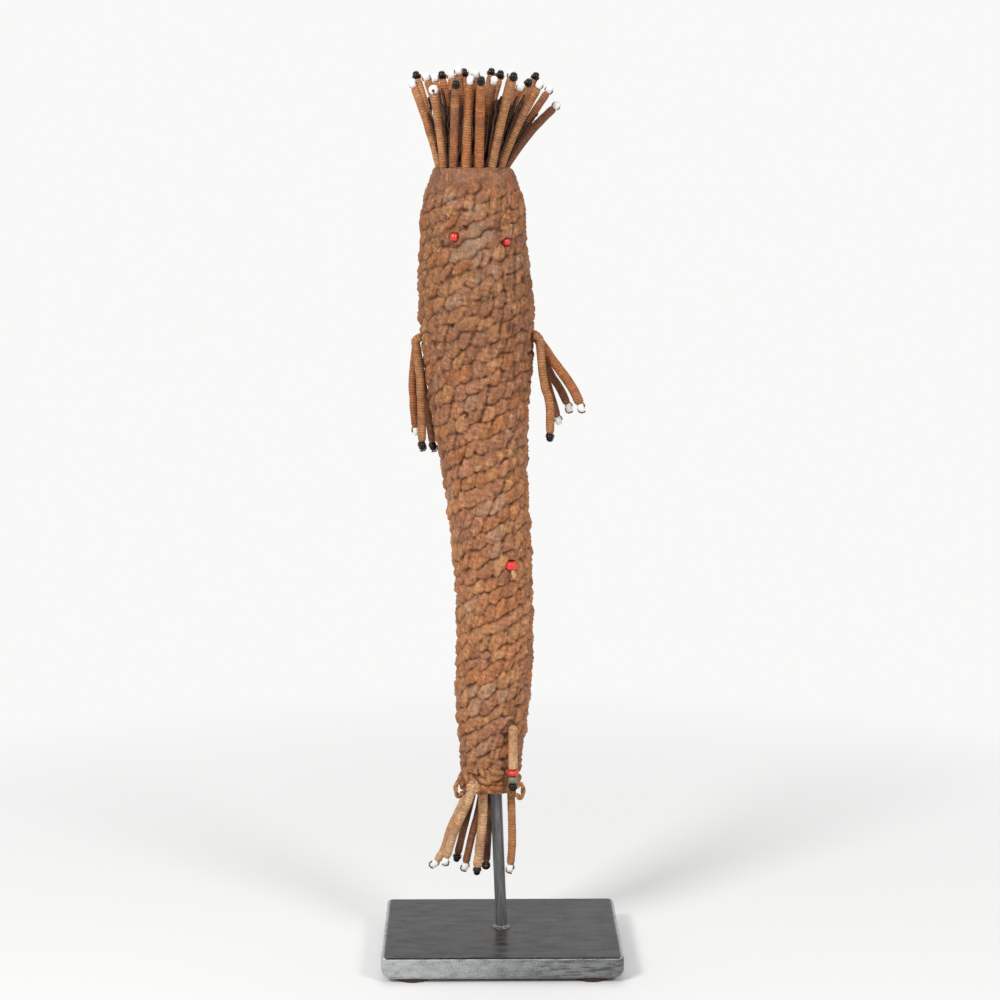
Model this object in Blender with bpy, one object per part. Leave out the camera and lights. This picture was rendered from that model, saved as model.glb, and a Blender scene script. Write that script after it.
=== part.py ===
"""A corded doll on a steel display stand, in metres, +Z up, facing -Y.

The origin is at the middle of the stand's plan, level with the undersides of its foot pads.
"""

import math

import bpy
from mathutils import Vector

MM = 0.001

# Driving sizes of the stand
PLATE_WIDTH = 101.6 * MM
PLATE_DEPTH = 76.2 * MM
PLATE_THICKNESS = 9.5 * MM
PLATE_CORNER_RADIUS = 3.0 * MM
PLATE_EDGE_BEVEL = 0.5 * MM
PLATE_FOOT_BEVEL = 1.2 * MM
PLATE_SIDE_ROUND = 4.0 * MM
PAD_RADIUS = 8.2 * MM
PAD_THICKNESS = 1.5 * MM
PAD_INSET_ACROSS = 13.2 * MM
PAD_INSET_FORWARD = 9.3 * MM
ROD_RADIUS = 2.5 * MM
ROD_END_BEVEL = 0.5 * MM
ROD_SEAT_DEPTH = 5.0 * MM
ROD_LEAN = 2.4 * MM
ROD_IN_CORE = 110.0 * MM
WELD_WIDTH = 1.2 * MM
WELD_HEIGHT = 1.1 * MM

# Driving sizes of the doll
DOLL_LIFT = 61.5 * MM
BODY_LENGTH = 264.5 * MM
BODY_RADIUS = 24.1 * MM
BODY_SWAY = 12.0 * MM
COVER_WALL = 3.2 * MM
COVER_FLOOR = 3.2 * MM
CROWN_THICKNESS = 9.5 * MM
HAIR_LENGTH = 38.0 * MM
HAIR_RADIUS = 1.85 * MM
HAIR_SEAT_DEPTH = 5.0 * MM
ARM_LENGTH = 42.0 * MM
ARM_RADIUS = 1.75 * MM
LEG_LENGTH = 35.5 * MM
LEG_RADIUS = 1.85 * MM
THREAD_RADIUS = 0.5 * MM
PENDANT_LENGTH = 14.5 * MM
PENDANT_RADIUS = 2.0 * MM
LOOP_CORD_RADIUS = 0.9 * MM

# Driving sizes of the beads
BEAD_RADIUS = 2.0 * MM
BEAD_LENGTH = 2.8 * MM
EYE_RADIUS = 1.8 * MM
EYE_LENGTH = 2.8 * MM
NAVEL_RADIUS = 2.3 * MM
NAVEL_LENGTH = 3.2 * MM
RED_RING_RADIUS = 2.5 * MM
RED_RING_LENGTH = 2.6 * MM
GREEN_BEAD_RADIUS = 2.1 * MM
GREEN_BEAD_LENGTH = 2.8 * MM
BLACK_BEAD_RADIUS = 1.9 * MM
BLACK_BEAD_LENGTH = 3.0 * MM
BEAD_HOLE_RADIUS = 0.85 * MM

# Clearances between pieces that touch
GAP = 0.3 * MM
CUT_MARGIN = 3.0 * MM

# Heights that follow from the sizes above
PLATE_FOOT = PAD_THICKNESS + GAP
PLATE_TOP = PLATE_FOOT + PLATE_THICKNESS
ROD_FOOT = PLATE_TOP - ROD_SEAT_DEPTH
DOLL_FOOT = PLATE_TOP + DOLL_LIFT
DOLL_TOP = DOLL_FOOT + BODY_LENGTH
ROD_TOP = DOLL_FOOT + ROD_IN_CORE

# How finely round shapes are faceted
BODY_SIDES = 28
ROD_SIDES = 20
PAD_SIDES = 20
HAIR_SIDES = 6
LIMB_SIDES = 8
BEAD_SIDES = 10
LOOP_SIDES = 6
LOOP_STEPS = 14
HAIR_STEPS = 5
LIMB_STEPS = 7
CORNER_STEPS = 4
SIDE_ROUND_STEPS = 4

# The body from its foot to its crown: share of length, share of radius, share of sway
BODY_SHARES = (
    (0.000, 0.455, 0.42),
    (0.012, 0.505, 0.42),
    (0.045, 0.540, 0.38),
    (0.091, 0.593, 0.36),
    (0.157, 0.668, 0.31),
    (0.238, 0.674, 0.24),
    (0.319, 0.680, 0.25),
    (0.400, 0.703, 0.36),
    (0.480, 0.722, 0.51),
    (0.560, 0.780, 0.67),
    (0.639, 0.882, 0.79),
    (0.700, 0.950, 0.82),
    (0.764, 1.000, 0.87),
    (0.820, 0.982, 0.92),
    (0.880, 0.925, 0.98),
    (0.930, 0.905, 0.97),
    (0.962, 0.825, 0.95),
    (0.984, 0.750, 0.97),
    (1.000, 0.685, 1.00),
)

# Each hair strand in the crown's two rings: share of a turn, share of the crown's radius, then
# its tip's way across, forward and up as shares of the hair's length, and its thickness share
HAIR_SHARES = (
    (0.531, 0.84, -0.28, 0.10, 0.88, 0.95),
    (0.594, 0.84, -0.11, 0.28, 0.80, 1.00),
    (0.656, 0.84, 0.03, 0.36, 0.85, 0.98),
    (0.719, 0.84, 0.05, 0.30, 0.89, 1.00),
    (0.781, 0.84, 0.02, 0.42, 0.88, 1.05),
    (0.844, 0.84, 0.23, 0.30, 0.93, 1.05),
    (0.906, 0.84, 0.41, 0.24, 0.86, 1.00),
    (0.969, 0.84, 0.55, 0.10, 0.65, 0.95),
    (0.031, 0.84, 0.48, -0.10, 0.83, 0.92),
    (0.094, 0.84, 0.39, -0.22, 0.98, 0.95),
    (0.156, 0.84, 0.23, -0.30, 1.01, 0.92),
    (0.219, 0.84, 0.14, -0.36, 1.04, 0.95),
    (0.281, 0.84, 0.06, -0.38, 1.03, 0.95),
    (0.344, 0.84, -0.03, -0.34, 1.00, 0.92),
    (0.406, 0.84, -0.11, -0.28, 0.96, 0.95),
    (0.469, 0.84, -0.25, -0.12, 0.98, 0.92),
    (0.563, 0.47, -0.31, 0.08, 0.95, 0.92),
    (0.688, 0.47, -0.07, 0.16, 1.01, 0.95),
    (0.813, 0.47, 0.15, 0.16, 0.90, 0.95),
    (0.938, 0.47, 0.33, 0.10, 0.84, 0.92),
    (0.063, 0.47, 0.42, -0.08, 0.90, 0.92),
    (0.188, 0.47, 0.20, -0.16, 0.97, 0.95),
    (0.313, 0.47, 0.12, -0.18, 1.00, 0.92),
    (0.438, 0.47, -0.14, -0.08, 0.98, 0.95),
)
# The two hair strands at the crown's middle, in the same way, but with their distance from it
# as a share of a strand's radius
MIDDLE_HAIR_SHARES = (
    (0.500, 1.249, -0.03, 0.00, 1.00, 0.92),
    (0.000, 1.249, 0.24, 0.00, 0.98, 0.92),
)
HAIR_UPRIGHT_SHARE = 0.75
HAIR_BEND_SHARE = 0.45

# How high on the body each feature sits, as a share of its length, and how far across, as a
# share of the body's radius there
EYE_LEFT_SHARES = (0.893, -0.35)
EYE_RIGHT_SHARES = (0.885, 0.62)
NAVEL_SHARES = (0.379, 0.46)
PENDANT_SHARES = (0.106, 0.52)
LEFT_SHOULDER_SHARE = 0.724
RIGHT_SHOULDER_SHARE = 0.728
EYE_SUNK_SHARE = 0.50
NAVEL_SUNK_SHARE = 0.42

# Each arm strand: its place along the shoulder in strand widths, its thickness share, then the
# points it passes, outward, forward and down as shares of the arm's length
LEFT_ARM_SHARES = (
    (0.0, 1.00, ((0.040, 0.00, 0.345), (0.030, 0.00, 0.62), (0.010, 0.00, 0.87))),
    (1.0, 1.05, ((-0.040, 0.00, 0.345), (-0.050, 0.01, 0.66), (-0.055, 0.02, 1.00))),
    (-1.0, 0.95, ((-0.045, -0.03, 0.32), (-0.088, -0.05, 0.58), (-0.160, -0.05, 1.04))),
)
RIGHT_ARM_SHARES = (
    (0.5, 1.20, ((0.140, 0.01, 0.195), (0.317, 0.02, 0.44), (0.420, 0.02, 0.65))),
    (-0.5, 1.00, ((0.098, 0.00, 0.30), (0.207, -0.01, 0.47), (0.300, -0.01, 0.665))),
    (1.5, 1.02, ((0.038, 0.02, 0.38), (0.098, 0.02, 0.60), (0.105, 0.01, 0.94))),
    (-1.5, 0.98, ((0.075, -0.01, 0.38), (0.138, -0.02, 0.60), (0.200, -0.02, 0.81))),
)
SHOULDER_PITCH_SHARE = 2.5

# Each leg strand under the body's foot: its root across and forward of the rod as shares of the
# distance at which a bead clears the rod, its thickness share, then the points it passes, across,
# forward and down as shares of the leg's length
LEG_SHARES = (
    (-2.537, -0.617, 1.00, ((-0.205, 0.01, 0.44), (-0.285, 0.01, 0.71), (-0.400, 0.01, 0.89))),
    (-2.012, -1.553, 0.92, ((-0.075, -0.02, 0.31), (-0.130, -0.03, 0.54), (-0.205, -0.03, 0.87))),
    (-1.167, -1.759, 0.92, ((-0.065, -0.01, 0.33), (-0.130, 0.00, 0.57), (-0.220, 0.00, 0.98))),
    (-1.167, 1.142, 1.12, ((-0.006, 0.01, 0.27), (-0.033, 0.01, 0.53), (-0.075, 0.00, 0.90))),
    (-0.344, -1.462, 0.95, ((-0.028, 0.00, 0.31), (-0.050, 0.01, 0.55), (-0.075, 0.01, 0.95))),
    (1.346, 0.617, 0.96, ((0.010, 0.00, 0.33), (0.012, 0.00, 0.61), (-0.010, 0.00, 0.90))),
)
# The leg strand knotted to the body's front just above its foot: its root's height and place
# across as for a feature, its thickness share, then its points as above
FRONT_LEG_ROOT_SHARES = (0.013, -0.53)
FRONT_LEG_THICKNESS_SHARE = 1.00
FRONT_LEG_SHARES = ((-0.070, 0.00, 0.195), (-0.205, -0.05, 0.51), (-0.325, -0.11, 0.91))

# The cord loops at the body's foot: share of the body's length, then half height and half
# width in cord radii
LEFT_LOOP_SHARES = (0.008, 3.5, 1.4)
RIGHT_LOOP_SHARES = (0.005, 3.3, 1.4)
LEFT_LOOP_FORWARD_SHARE = 0.50
RIGHT_LOOP_FORWARD_SHARE = 0.55

# Rounded ends: how far along, and how wide, as shares of the strand's radius
ROOT_END_SHARES = ((1.00, 0.30), (0.72, 0.70), (0.38, 0.93))
TIP_END_SHARES = ((0.30, 0.94), (0.55, 0.62))
# A bead's outline: how far from its middle along its length, and how wide, as shares
BEAD_OUTLINE_SHARES = ((-0.50, 0.62), (-0.28, 0.94), (0.00, 1.00), (0.28, 0.94), (0.50, 0.62))
# A bead that is fused to its strand: how far along its length, and how wide, as shares
THREADED_BEAD_SHARES = ((0.00, 0.55), (0.25, 0.95), (0.75, 0.95), (1.00, 0.55))
NECK_SHARE = 0.15
THREAD_END_SHARE = 0.40
# The braze round the rod: how far out from the rod, and how high, as shares
WELD_OUTLINE_SHARES = ((0.00, 0.00), (1.00, 0.00), (0.50, 0.33), (0.25, 1.00), (0.00, 1.00))

# Each bead that is sunk in the cover: its place, radius, length and the share of it that is sunk
SUNK_BEADS = (
    ("eye_bead_left", EYE_LEFT_SHARES, EYE_RADIUS, EYE_LENGTH, EYE_SUNK_SHARE),
    ("eye_bead_right", EYE_RIGHT_SHARES, EYE_RADIUS, EYE_LENGTH, EYE_SUNK_SHARE),
    ("navel_bead", NAVEL_SHARES, NAVEL_RADIUS, NAVEL_LENGTH, NAVEL_SUNK_SHARE),
)
# Each bead threaded on the pendant cord, from the top
PENDANT_BEADS = (
    ("pendant_bead_red", RED_RING_RADIUS, RED_RING_LENGTH, "red_glass"),
    ("pendant_bead_green", GREEN_BEAD_RADIUS, GREEN_BEAD_LENGTH, "green_glass"),
    ("pendant_bead_black", BLACK_BEAD_RADIUS, BLACK_BEAD_LENGTH, "black_glass"),
)

FINISHES = {
    "steel": ((0.035, 0.035, 0.038), 0.38, 0.9),
    "braze": ((0.33, 0.20, 0.10), 0.40, 0.7),
    "felt": ((0.20, 0.085, 0.045), 0.95, 0.0),
    "husk": ((0.48, 0.36, 0.20), 0.90, 0.0),
    "cord": ((0.36, 0.19, 0.10), 0.75, 0.0),
    "strand": ((0.22, 0.12, 0.065), 0.65, 0.0),
    "red_glass": ((0.42, 0.03, 0.02), 0.18, 0.0),
    "green_glass": ((0.22, 0.25, 0.20), 0.30, 0.0),
    "black_glass": ((0.02, 0.018, 0.018), 0.20, 0.0),
}


def finish_of(name):
    """The Principled material for this finish, made the first time it is asked for."""
    found = bpy.data.materials.get(name)
    if found:
        return found
    colour, roughness, metallic = FINISHES[name]
    made = bpy.data.materials.new(name)
    made.use_nodes = True
    shader = made.node_tree.nodes["Principled BSDF"]
    shader.inputs["Base Color"].default_value = (*colour, 1.0)
    shader.inputs["Roughness"].default_value = roughness
    shader.inputs["Metallic"].default_value = metallic
    return made


def add_piece(name, points, faces, finish, origin):
    """Adds one named object with its origin at this point of the world."""
    mesh = bpy.data.meshes.new(name)
    mesh.from_pydata([tuple(p - origin) for p in points], [], faces)
    mesh.materials.append(finish_of(finish))
    mesh.update()
    piece = bpy.data.objects.new(name, mesh)
    piece.location = origin
    bpy.context.scene.collection.objects.link(piece)
    return piece


def ring(centre, across, upward, radius, sides):
    """The points of a regular polygon round the centre."""
    turns = [2 * math.pi * i / sides for i in range(sides)]
    return [centre + across * (radius * math.cos(t)) + upward * (radius * math.sin(t)) for t in turns]


def skin(rings, closed=False):
    """Joins rings of equal size into one skin, with a flat cap at each end unless it closes."""
    sides = len(rings[0])
    points = [p for r in rings for p in r]
    faces = []
    count = len(rings) if closed else len(rings) - 1
    for r in range(count):
        here = r * sides
        there = (r + 1) % len(rings) * sides
        for i in range(sides):
            j = (i + 1) % sides
            faces.append((here + i, here + j, there + j, there + i))
    if not closed:
        last = (len(rings) - 1) * sides
        faces.append(tuple(reversed(range(sides))))
        faces.append(tuple(range(last, last + sides)))
    return points, faces


def swept(stations, sides):
    """A skin along stations of (centre, radius), each ring square to the way the centres run."""
    centres = [c for c, _ in stations]
    tangent = (centres[1] - centres[0]).normalized()
    across = tangent.orthogonal().normalized()
    rings = []
    for i, (centre, radius) in enumerate(stations):
        before = centres[max(i - 1, 0)]
        after = centres[min(i + 1, len(centres) - 1)]
        turned = (after - before).normalized()
        across = (tangent.rotation_difference(turned).to_matrix() @ across).normalized()
        tangent = turned
        rings.append(ring(centre, across, tangent.cross(across), radius, sides))
    return skin(rings)


def cut_sockets(piece, name, sockets, sides):
    """Cuts a straight round socket in the piece for each (foot, mouth, radius)."""
    points = []
    faces = []
    for foot, mouth, radius in sockets:
        more_points, more_faces = swept([(foot, radius), (mouth, radius)], sides)
        faces += [tuple(i + len(points) for i in f) for f in more_faces]
        points += more_points
    cutter = add_piece(name, points, faces, piece.data.materials[0].name, piece.location.copy())
    cutter.hide_render = True
    cutter.display_type = "WIRE"
    modifier = piece.modifiers.new(name, "BOOLEAN")
    modifier.operation = "DIFFERENCE"
    modifier.solver = "EXACT"
    modifier.object = cutter


def smooth_path(points, steps):
    """Points along an even curve through the given ones."""
    ends = [2 * points[0] - points[1], *points, 2 * points[-1] - points[-2]]
    spans = len(points) - 1
    path = []
    for i in range(steps + 1):
        place = min(i * spans / steps, spans)
        k = min(int(place), spans - 1)
        t = place - k
        a, b, c, d = ends[k : k + 4]
        path.append(
            (2 * b + (c - a) * t + (2 * a - 5 * b + 4 * c - d) * t * t + (3 * b - a - 3 * c + d) * t**3) / 2
        )
    return path


def body_at(share, inward=0.0):
    """The body's centre and radius at this share of its length, less the inward distance."""
    low = max(i for i in range(len(BODY_SHARES) - 1) if BODY_SHARES[i][0] <= min(share, 1) or i == 0)
    h0, r0, s0 = BODY_SHARES[low]
    h1, r1, s1 = BODY_SHARES[low + 1]
    t = (share - h0) / (h1 - h0)
    sway = s0 + (s1 - s0) * t
    radius = (r0 + (r1 - r0) * t) * BODY_RADIUS - inward
    return Vector((-sway * BODY_SWAY, 0, DOLL_FOOT + share * BODY_LENGTH)), radius


def body_rings(low, high, inward):
    """Level rings of the body between two shares of its length."""
    shares = [low, *[s[0] for s in BODY_SHARES if low < s[0] < high], high]
    stations = [body_at(s, inward) for s in shares]
    return [ring(c, Vector((1, 0, 0)), Vector((0, 1, 0)), r, BODY_SIDES) for c, r in stations]


def surface_point(height_share, across_share):
    """A point on the body's front and the way out from the body there."""
    centre, radius = body_at(height_share)
    forward = math.sqrt(1 - across_share**2)
    outward = Vector((across_share, -forward, 0))
    return centre + outward * radius, outward


def rod_point(height):
    """The rod's centre at this height."""
    rise = (height - PLATE_TOP) / DOLL_LIFT
    return Vector((-ROD_LEAN * rise, 0, height))


def bead_reach(radius):
    """How far a strand's bead sits beyond the last full-width point of the strand."""
    tip = radius * (TIP_END_SHARES[-1][0] + NECK_SHARE)
    return tip + THREAD_RADIUS / 2 + BEAD_LENGTH / 2


def strand_stations(path, radius, rounded_root):
    """The stations of a wrapped strand with a thread and a seed bead beyond its tip."""
    stations = []
    start = (path[1] - path[0]).normalized()
    if rounded_root:
        stations += [(path[0] - start * (radius * a), radius * r) for a, r in ROOT_END_SHARES]
    stations += [(p, radius) for p in path]
    end = (path[-1] - path[-2]).normalized()
    tip = path[-1]
    stations += [(tip + end * (radius * a), radius * r) for a, r in TIP_END_SHARES]
    reach = radius * TIP_END_SHARES[-1][0] + NECK_SHARE * radius
    stations.append((tip + end * reach, THREAD_RADIUS))
    bead_start = reach + THREAD_RADIUS / 2
    stations += [
        (tip + end * (bead_start + a * BEAD_LENGTH), BEAD_RADIUS * r) for a, r in THREADED_BEAD_SHARES
    ]
    bead_end = bead_start + BEAD_LENGTH
    stations.append((tip + end * (bead_end + THREAD_RADIUS), THREAD_RADIUS))
    stations.append((tip + end * (bead_end + 2 * THREAD_RADIUS), THREAD_RADIUS * THREAD_END_SHARE))
    return stations


def add_bead(name, centre, axis, radius, length, hole, finish):
    """A glass bead with its thread hole along the axis."""
    across = axis.orthogonal().normalized()
    upward = axis.cross(across)
    rings = []
    for along, wide in BEAD_OUTLINE_SHARES:
        middle = centre + axis * (along * length)
        rings.append(ring(middle, across, upward, radius * wide, BEAD_SIDES))
    for end in (length / 2, -length / 2):
        rings.append(ring(centre + axis * end, across, upward, hole, BEAD_SIDES))
    return add_piece(name, *skin(rings, closed=True), finish, centre)


def plate_levels():
    """The plate's outline from its foot up: the height, and how far in it lies at the sides and
    at the front and back. The lower edges are rounded at the sides and bevelled elsewhere."""
    levels = []
    for i in range(SIDE_ROUND_STEPS + 1):
        turn = math.pi / 2 * i / SIDE_ROUND_STEPS
        rise = PLATE_SIDE_ROUND * (1 - math.cos(turn))
        side_inset = PLATE_SIDE_ROUND * (1 - math.sin(turn))
        levels.append((PLATE_FOOT + rise, side_inset, max(PLATE_FOOT_BEVEL - rise, 0)))
    levels.append((PLATE_TOP - PLATE_EDGE_BEVEL, 0, 0))
    levels.append((PLATE_TOP, PLATE_EDGE_BEVEL, PLATE_EDGE_BEVEL))
    return levels


def build_plate():
    """The base plate, with a seat for the rod's foot cut in its top."""
    across = PLATE_WIDTH / 2 - PLATE_CORNER_RADIUS
    forward = PLATE_DEPTH / 2 - PLATE_CORNER_RADIUS
    rings = []
    for height, side_inset, inset in plate_levels():
        outline = []
        corners = ((1, 1, 0), (-1, 1, 1), (-1, -1, 2), (1, -1, 3))
        for side_x, side_y, quarter in corners:
            middle = Vector((side_x * (across - side_inset + inset), side_y * forward, height))
            for i in range(CORNER_STEPS + 1):
                turn = math.pi / 2 * (quarter + i / CORNER_STEPS)
                reach = PLATE_CORNER_RADIUS - inset
                outline.append(middle + Vector((math.cos(turn), math.sin(turn), 0)) * reach)
        rings.append(outline)
    plate = add_piece("base_plate", *skin(rings), "steel", Vector((0, 0, PLATE_FOOT)))
    seat = (rod_point(ROD_FOOT - GAP), rod_point(PLATE_TOP + CUT_MARGIN), ROD_RADIUS + GAP)
    cut_sockets(plate, "rod_seat_cutter", [seat], ROD_SIDES)


def build_pads():
    """A felt pad under each corner of the plate."""
    across = PLATE_WIDTH / 2 - PAD_INSET_ACROSS
    forward = PLATE_DEPTH / 2 - PAD_INSET_FORWARD
    places = ((-across, -forward), (across, -forward), (across, forward), (-across, forward))
    for number, (x, y) in enumerate(places, 1):
        foot = Vector((x, y, 0))
        rings = [
            ring(foot + Vector((0, 0, h)), Vector((1, 0, 0)), Vector((0, 1, 0)), PAD_RADIUS, PAD_SIDES)
            for h in (0, PAD_THICKNESS)
        ]
        add_piece(f"foot_pad_{number}", *skin(rings), "felt", foot)


def build_rod():
    """The leaning rod from its seat in the plate to the blind end of the core's bore."""
    foot = rod_point(ROD_FOOT)
    top = rod_point(ROD_TOP)
    way = (top - foot).normalized()
    stations = [
        (foot, ROD_RADIUS - ROD_END_BEVEL),
        (foot + way * ROD_END_BEVEL, ROD_RADIUS),
        (top - way * ROD_END_BEVEL, ROD_RADIUS),
        (top, ROD_RADIUS - ROD_END_BEVEL),
    ]
    add_piece("support_rod", *swept(stations, ROD_SIDES), "steel", foot)


def build_weld():
    """The fillet of braze round the rod where it leaves the plate."""
    inner = ROD_RADIUS + GAP
    low = PLATE_TOP + GAP
    rings = []
    for wide, tall in WELD_OUTLINE_SHARES:
        centre = rod_point(low + tall * WELD_HEIGHT)
        radius = inner + wide * WELD_WIDTH
        rings.append(ring(centre, Vector((1, 0, 0)), Vector((0, 1, 0)), radius, ROD_SIDES))
    add_piece("rod_weld", *skin(rings, closed=True), "braze", rod_point(PLATE_TOP))


def bore_rings(heights, radius):
    """Level rings round the rod's line, with as many sides as the body has."""
    return [
        ring(rod_point(h), Vector((1, 0, 0)), Vector((0, 1, 0)), radius, BODY_SIDES) for h in heights
    ]


def build_core():
    """The husk core that fills the cover, bored from below for the rod."""
    low = (COVER_FLOOR + GAP) / BODY_LENGTH
    high = 1 - (CROWN_THICKNESS + GAP) / BODY_LENGTH
    outside = body_rings(low, high, COVER_WALL + GAP)
    foot = outside[0][0].z
    bore = bore_rings((ROD_TOP + GAP, foot), ROD_RADIUS + GAP)
    points, faces = skin([*bore, *outside])
    add_piece("husk_core", points, faces, "husk", rod_point(DOLL_FOOT))


def hair_roots():
    """Where each hair strand leaves the crown, its way out there, its radius and its tip."""
    top, crown_radius = body_at(1)
    rows = [(crown_radius, shares) for shares in HAIR_SHARES]
    rows += [(HAIR_RADIUS, shares) for shares in MIDDLE_HAIR_SHARES]
    roots = []
    for unit, (turn, reach, across, forward, up, thick) in rows:
        angle = 2 * math.pi * turn
        start = top + Vector((math.cos(angle), math.sin(angle), 0)) * (reach * unit)
        tip = start + Vector((across, -forward, up)) * HAIR_LENGTH
        upright = HAIR_UPRIGHT_SHARE
        way = Vector((across * upright, -forward * upright, up)).normalized()
        roots.append((start, way, HAIR_RADIUS * thick, tip))
    return roots


def build_cover():
    """The knotted cover: a shell round the core, closed at the crown, with a way in for the rod,
    the hair strands and the face and navel beads."""
    inner_low = COVER_FLOOR / BODY_LENGTH
    inner_high = 1 - CROWN_THICKNESS / BODY_LENGTH
    outside = body_rings(0, 1, 0)
    inside = body_rings(inner_low, inner_high, COVER_WALL)
    mouth = bore_rings((DOLL_FOOT + COVER_FLOOR, DOLL_FOOT), ROD_RADIUS + 2 * GAP)
    rings = [*reversed(inside), *mouth, *outside]
    cover = add_piece("knotted_cover", *skin(rings), "cord", rod_point(DOLL_FOOT))
    hair_sockets = []
    for start, way, radius, _ in hair_roots():
        foot = start - way * (HAIR_SEAT_DEPTH + GAP)
        hair_sockets.append((foot, start + way * CUT_MARGIN, radius + GAP))
    cut_sockets(cover, "hair_socket_cutter", hair_sockets, HAIR_SIDES)
    bead_sockets = []
    for _, place, radius, length, sunk_share in SUNK_BEADS:
        spot, outward = surface_point(*place)
        foot = spot - outward * (2 * radius * sunk_share + GAP)
        reach = math.hypot(radius, length / 2) + GAP
        bead_sockets.append((foot, spot + outward * CUT_MARGIN, reach))
    cut_sockets(cover, "bead_socket_cutter", bead_sockets, BEAD_SIDES)


def build_face():
    """The two eye beads and the navel bead, each sunk in its socket in the cover."""
    for name, place, radius, length, sunk_share in SUNK_BEADS:
        spot, outward = surface_point(*place)
        centre = spot + outward * (radius * (1 - 2 * sunk_share))
        sideways = outward.cross(Vector((0, 0, 1)))
        add_bead(name, centre, sideways, radius, length, THREAD_RADIUS, "red_glass")


def build_hair():
    """The wrapped hair strands, each standing in its socket and ending in a seed bead."""
    for number, (start, way, radius, tip) in enumerate(hair_roots(), 1):
        foot = start - way * HAIR_SEAT_DEPTH
        bend = start + way * (HAIR_BEND_SHARE * HAIR_LENGTH)
        tip -= (tip - bend).normalized() * bead_reach(radius)
        path = [foot]
        for i in range(HAIR_STEPS + 1):
            t = i / HAIR_STEPS
            path.append(start * (1 - t) ** 2 + bend * (2 * t * (1 - t)) + tip * t**2)
        points, faces = swept(strand_stations(path, radius, False), HAIR_SIDES)
        add_piece(f"hair_strand_{number:02d}", points, faces, "strand", foot)


def limb_path(root, points, radius):
    """An even path from the root through the points, ending short of the last by its bead."""
    points = [root, *points]
    points[-1] -= (points[-1] - points[-2]).normalized() * bead_reach(radius)
    return smooth_path(points, LIMB_STEPS)


def build_arm(side, shoulder_share, table, label):
    """The strands of one arm, their rounded roots on one line from front to back."""
    centre, radius = body_at(shoulder_share)
    thickest = ARM_RADIUS * max(thick for _, thick, _ in table)
    line = centre + Vector((side * (radius + GAP + thickest), 0, 0))
    pitch = SHOULDER_PITCH_SHARE * ARM_RADIUS
    for number, (place, thick, shares) in enumerate(table, 1):
        root = line + Vector((0, -place * pitch, 0))
        points = [root + Vector((side * o, -f, -d)) * ARM_LENGTH for o, f, d in shares]
        path = limb_path(root, points, ARM_RADIUS * thick)
        shape = swept(strand_stations(path, ARM_RADIUS * thick, True), LIMB_SIDES)
        add_piece(f"arm_{label}_{number}", *shape, "strand", root)


def build_leg(number, root, radius, shares):
    """One leg strand hung by its rounded root."""
    points = [root + Vector((a, -f, -d)) * LEG_LENGTH for a, f, d in shares]
    path = limb_path(root, points, radius)
    shape = swept(strand_stations(path, radius, True), LIMB_SIDES)
    add_piece(f"leg_strand_{number}", *shape, "strand", root)


def build_legs():
    """The leg strands: those under the body's foot, then the one knotted to its front."""
    clear_of_rod = ROD_RADIUS + GAP + BEAD_RADIUS
    for number, (across, forward, thick, shares) in enumerate(LEG_SHARES, 1):
        radius = LEG_RADIUS * thick
        root = rod_point(DOLL_FOOT) + Vector((across, -forward, 0)) * clear_of_rod
        root.z -= GAP + radius
        build_leg(number, root, radius, shares)
    radius = LEG_RADIUS * FRONT_LEG_THICKNESS_SHARE
    spot, outward = surface_point(*FRONT_LEG_ROOT_SHARES)
    root = spot + outward * (GAP + radius)
    build_leg(len(LEG_SHARES) + 1, root, radius, FRONT_LEG_SHARES)


def build_pendant():
    """The wrapped pendant cord on the body's front, with its beads threaded below it."""
    spot, outward = surface_point(*PENDANT_SHARES)
    root = spot + outward * (GAP + PENDANT_RADIUS)
    down = Vector((0, 0, -1))
    end = root + down * PENDANT_LENGTH
    rounded = [(root - down * (PENDANT_RADIUS * a), PENDANT_RADIUS * r) for a, r in ROOT_END_SHARES]
    stations = [*rounded, (root, PENDANT_RADIUS), (end - down * PENDANT_RADIUS, PENDANT_RADIUS)]
    stations.append((end, PENDANT_RADIUS / 2))
    place = end + down * THREAD_RADIUS
    stations.append((place, THREAD_RADIUS))
    for name, radius, length, finish in PENDANT_BEADS:
        place = place + down * (GAP + length / 2)
        add_bead(name, place, down, radius, length, BEAD_HOLE_RADIUS, finish)
        place = place + down * (length / 2)
    knot = place + down * (GAP + BEAD_HOLE_RADIUS)
    stations.append((place + down * GAP, THREAD_RADIUS))
    stations.append((knot, 2 * BEAD_HOLE_RADIUS))
    stations.append((knot + down * BEAD_HOLE_RADIUS, BEAD_HOLE_RADIUS))
    add_piece("pendant_cord", *swept(stations, LIMB_SIDES), "strand", root)


def build_loop(name, side, shares, forward_share):
    """A small upright loop of cord beside the body's foot."""
    height_share, tall, wide = shares
    centre, _ = body_at(height_share)
    _, radius = body_at(height_share + (tall + 1) * LOOP_CORD_RADIUS / BODY_LENGTH)
    edge = radius * math.sqrt(1 - forward_share**2)
    reach = edge + GAP + (wide + 1) * LOOP_CORD_RADIUS
    middle = centre + Vector((side * reach, -forward_share * radius, 0))
    rings = []
    for i in range(LOOP_STEPS):
        turn = 2 * math.pi * i / LOOP_STEPS
        outward = Vector((math.cos(turn), 0, math.sin(turn)))
        spot = Vector((outward.x * wide, 0, outward.z * tall)) * LOOP_CORD_RADIUS
        rings.append(ring(middle + spot, outward, Vector((0, 1, 0)), LOOP_CORD_RADIUS, LOOP_SIDES))
    add_piece(name, *skin(rings, closed=True), "cord", middle)


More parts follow.
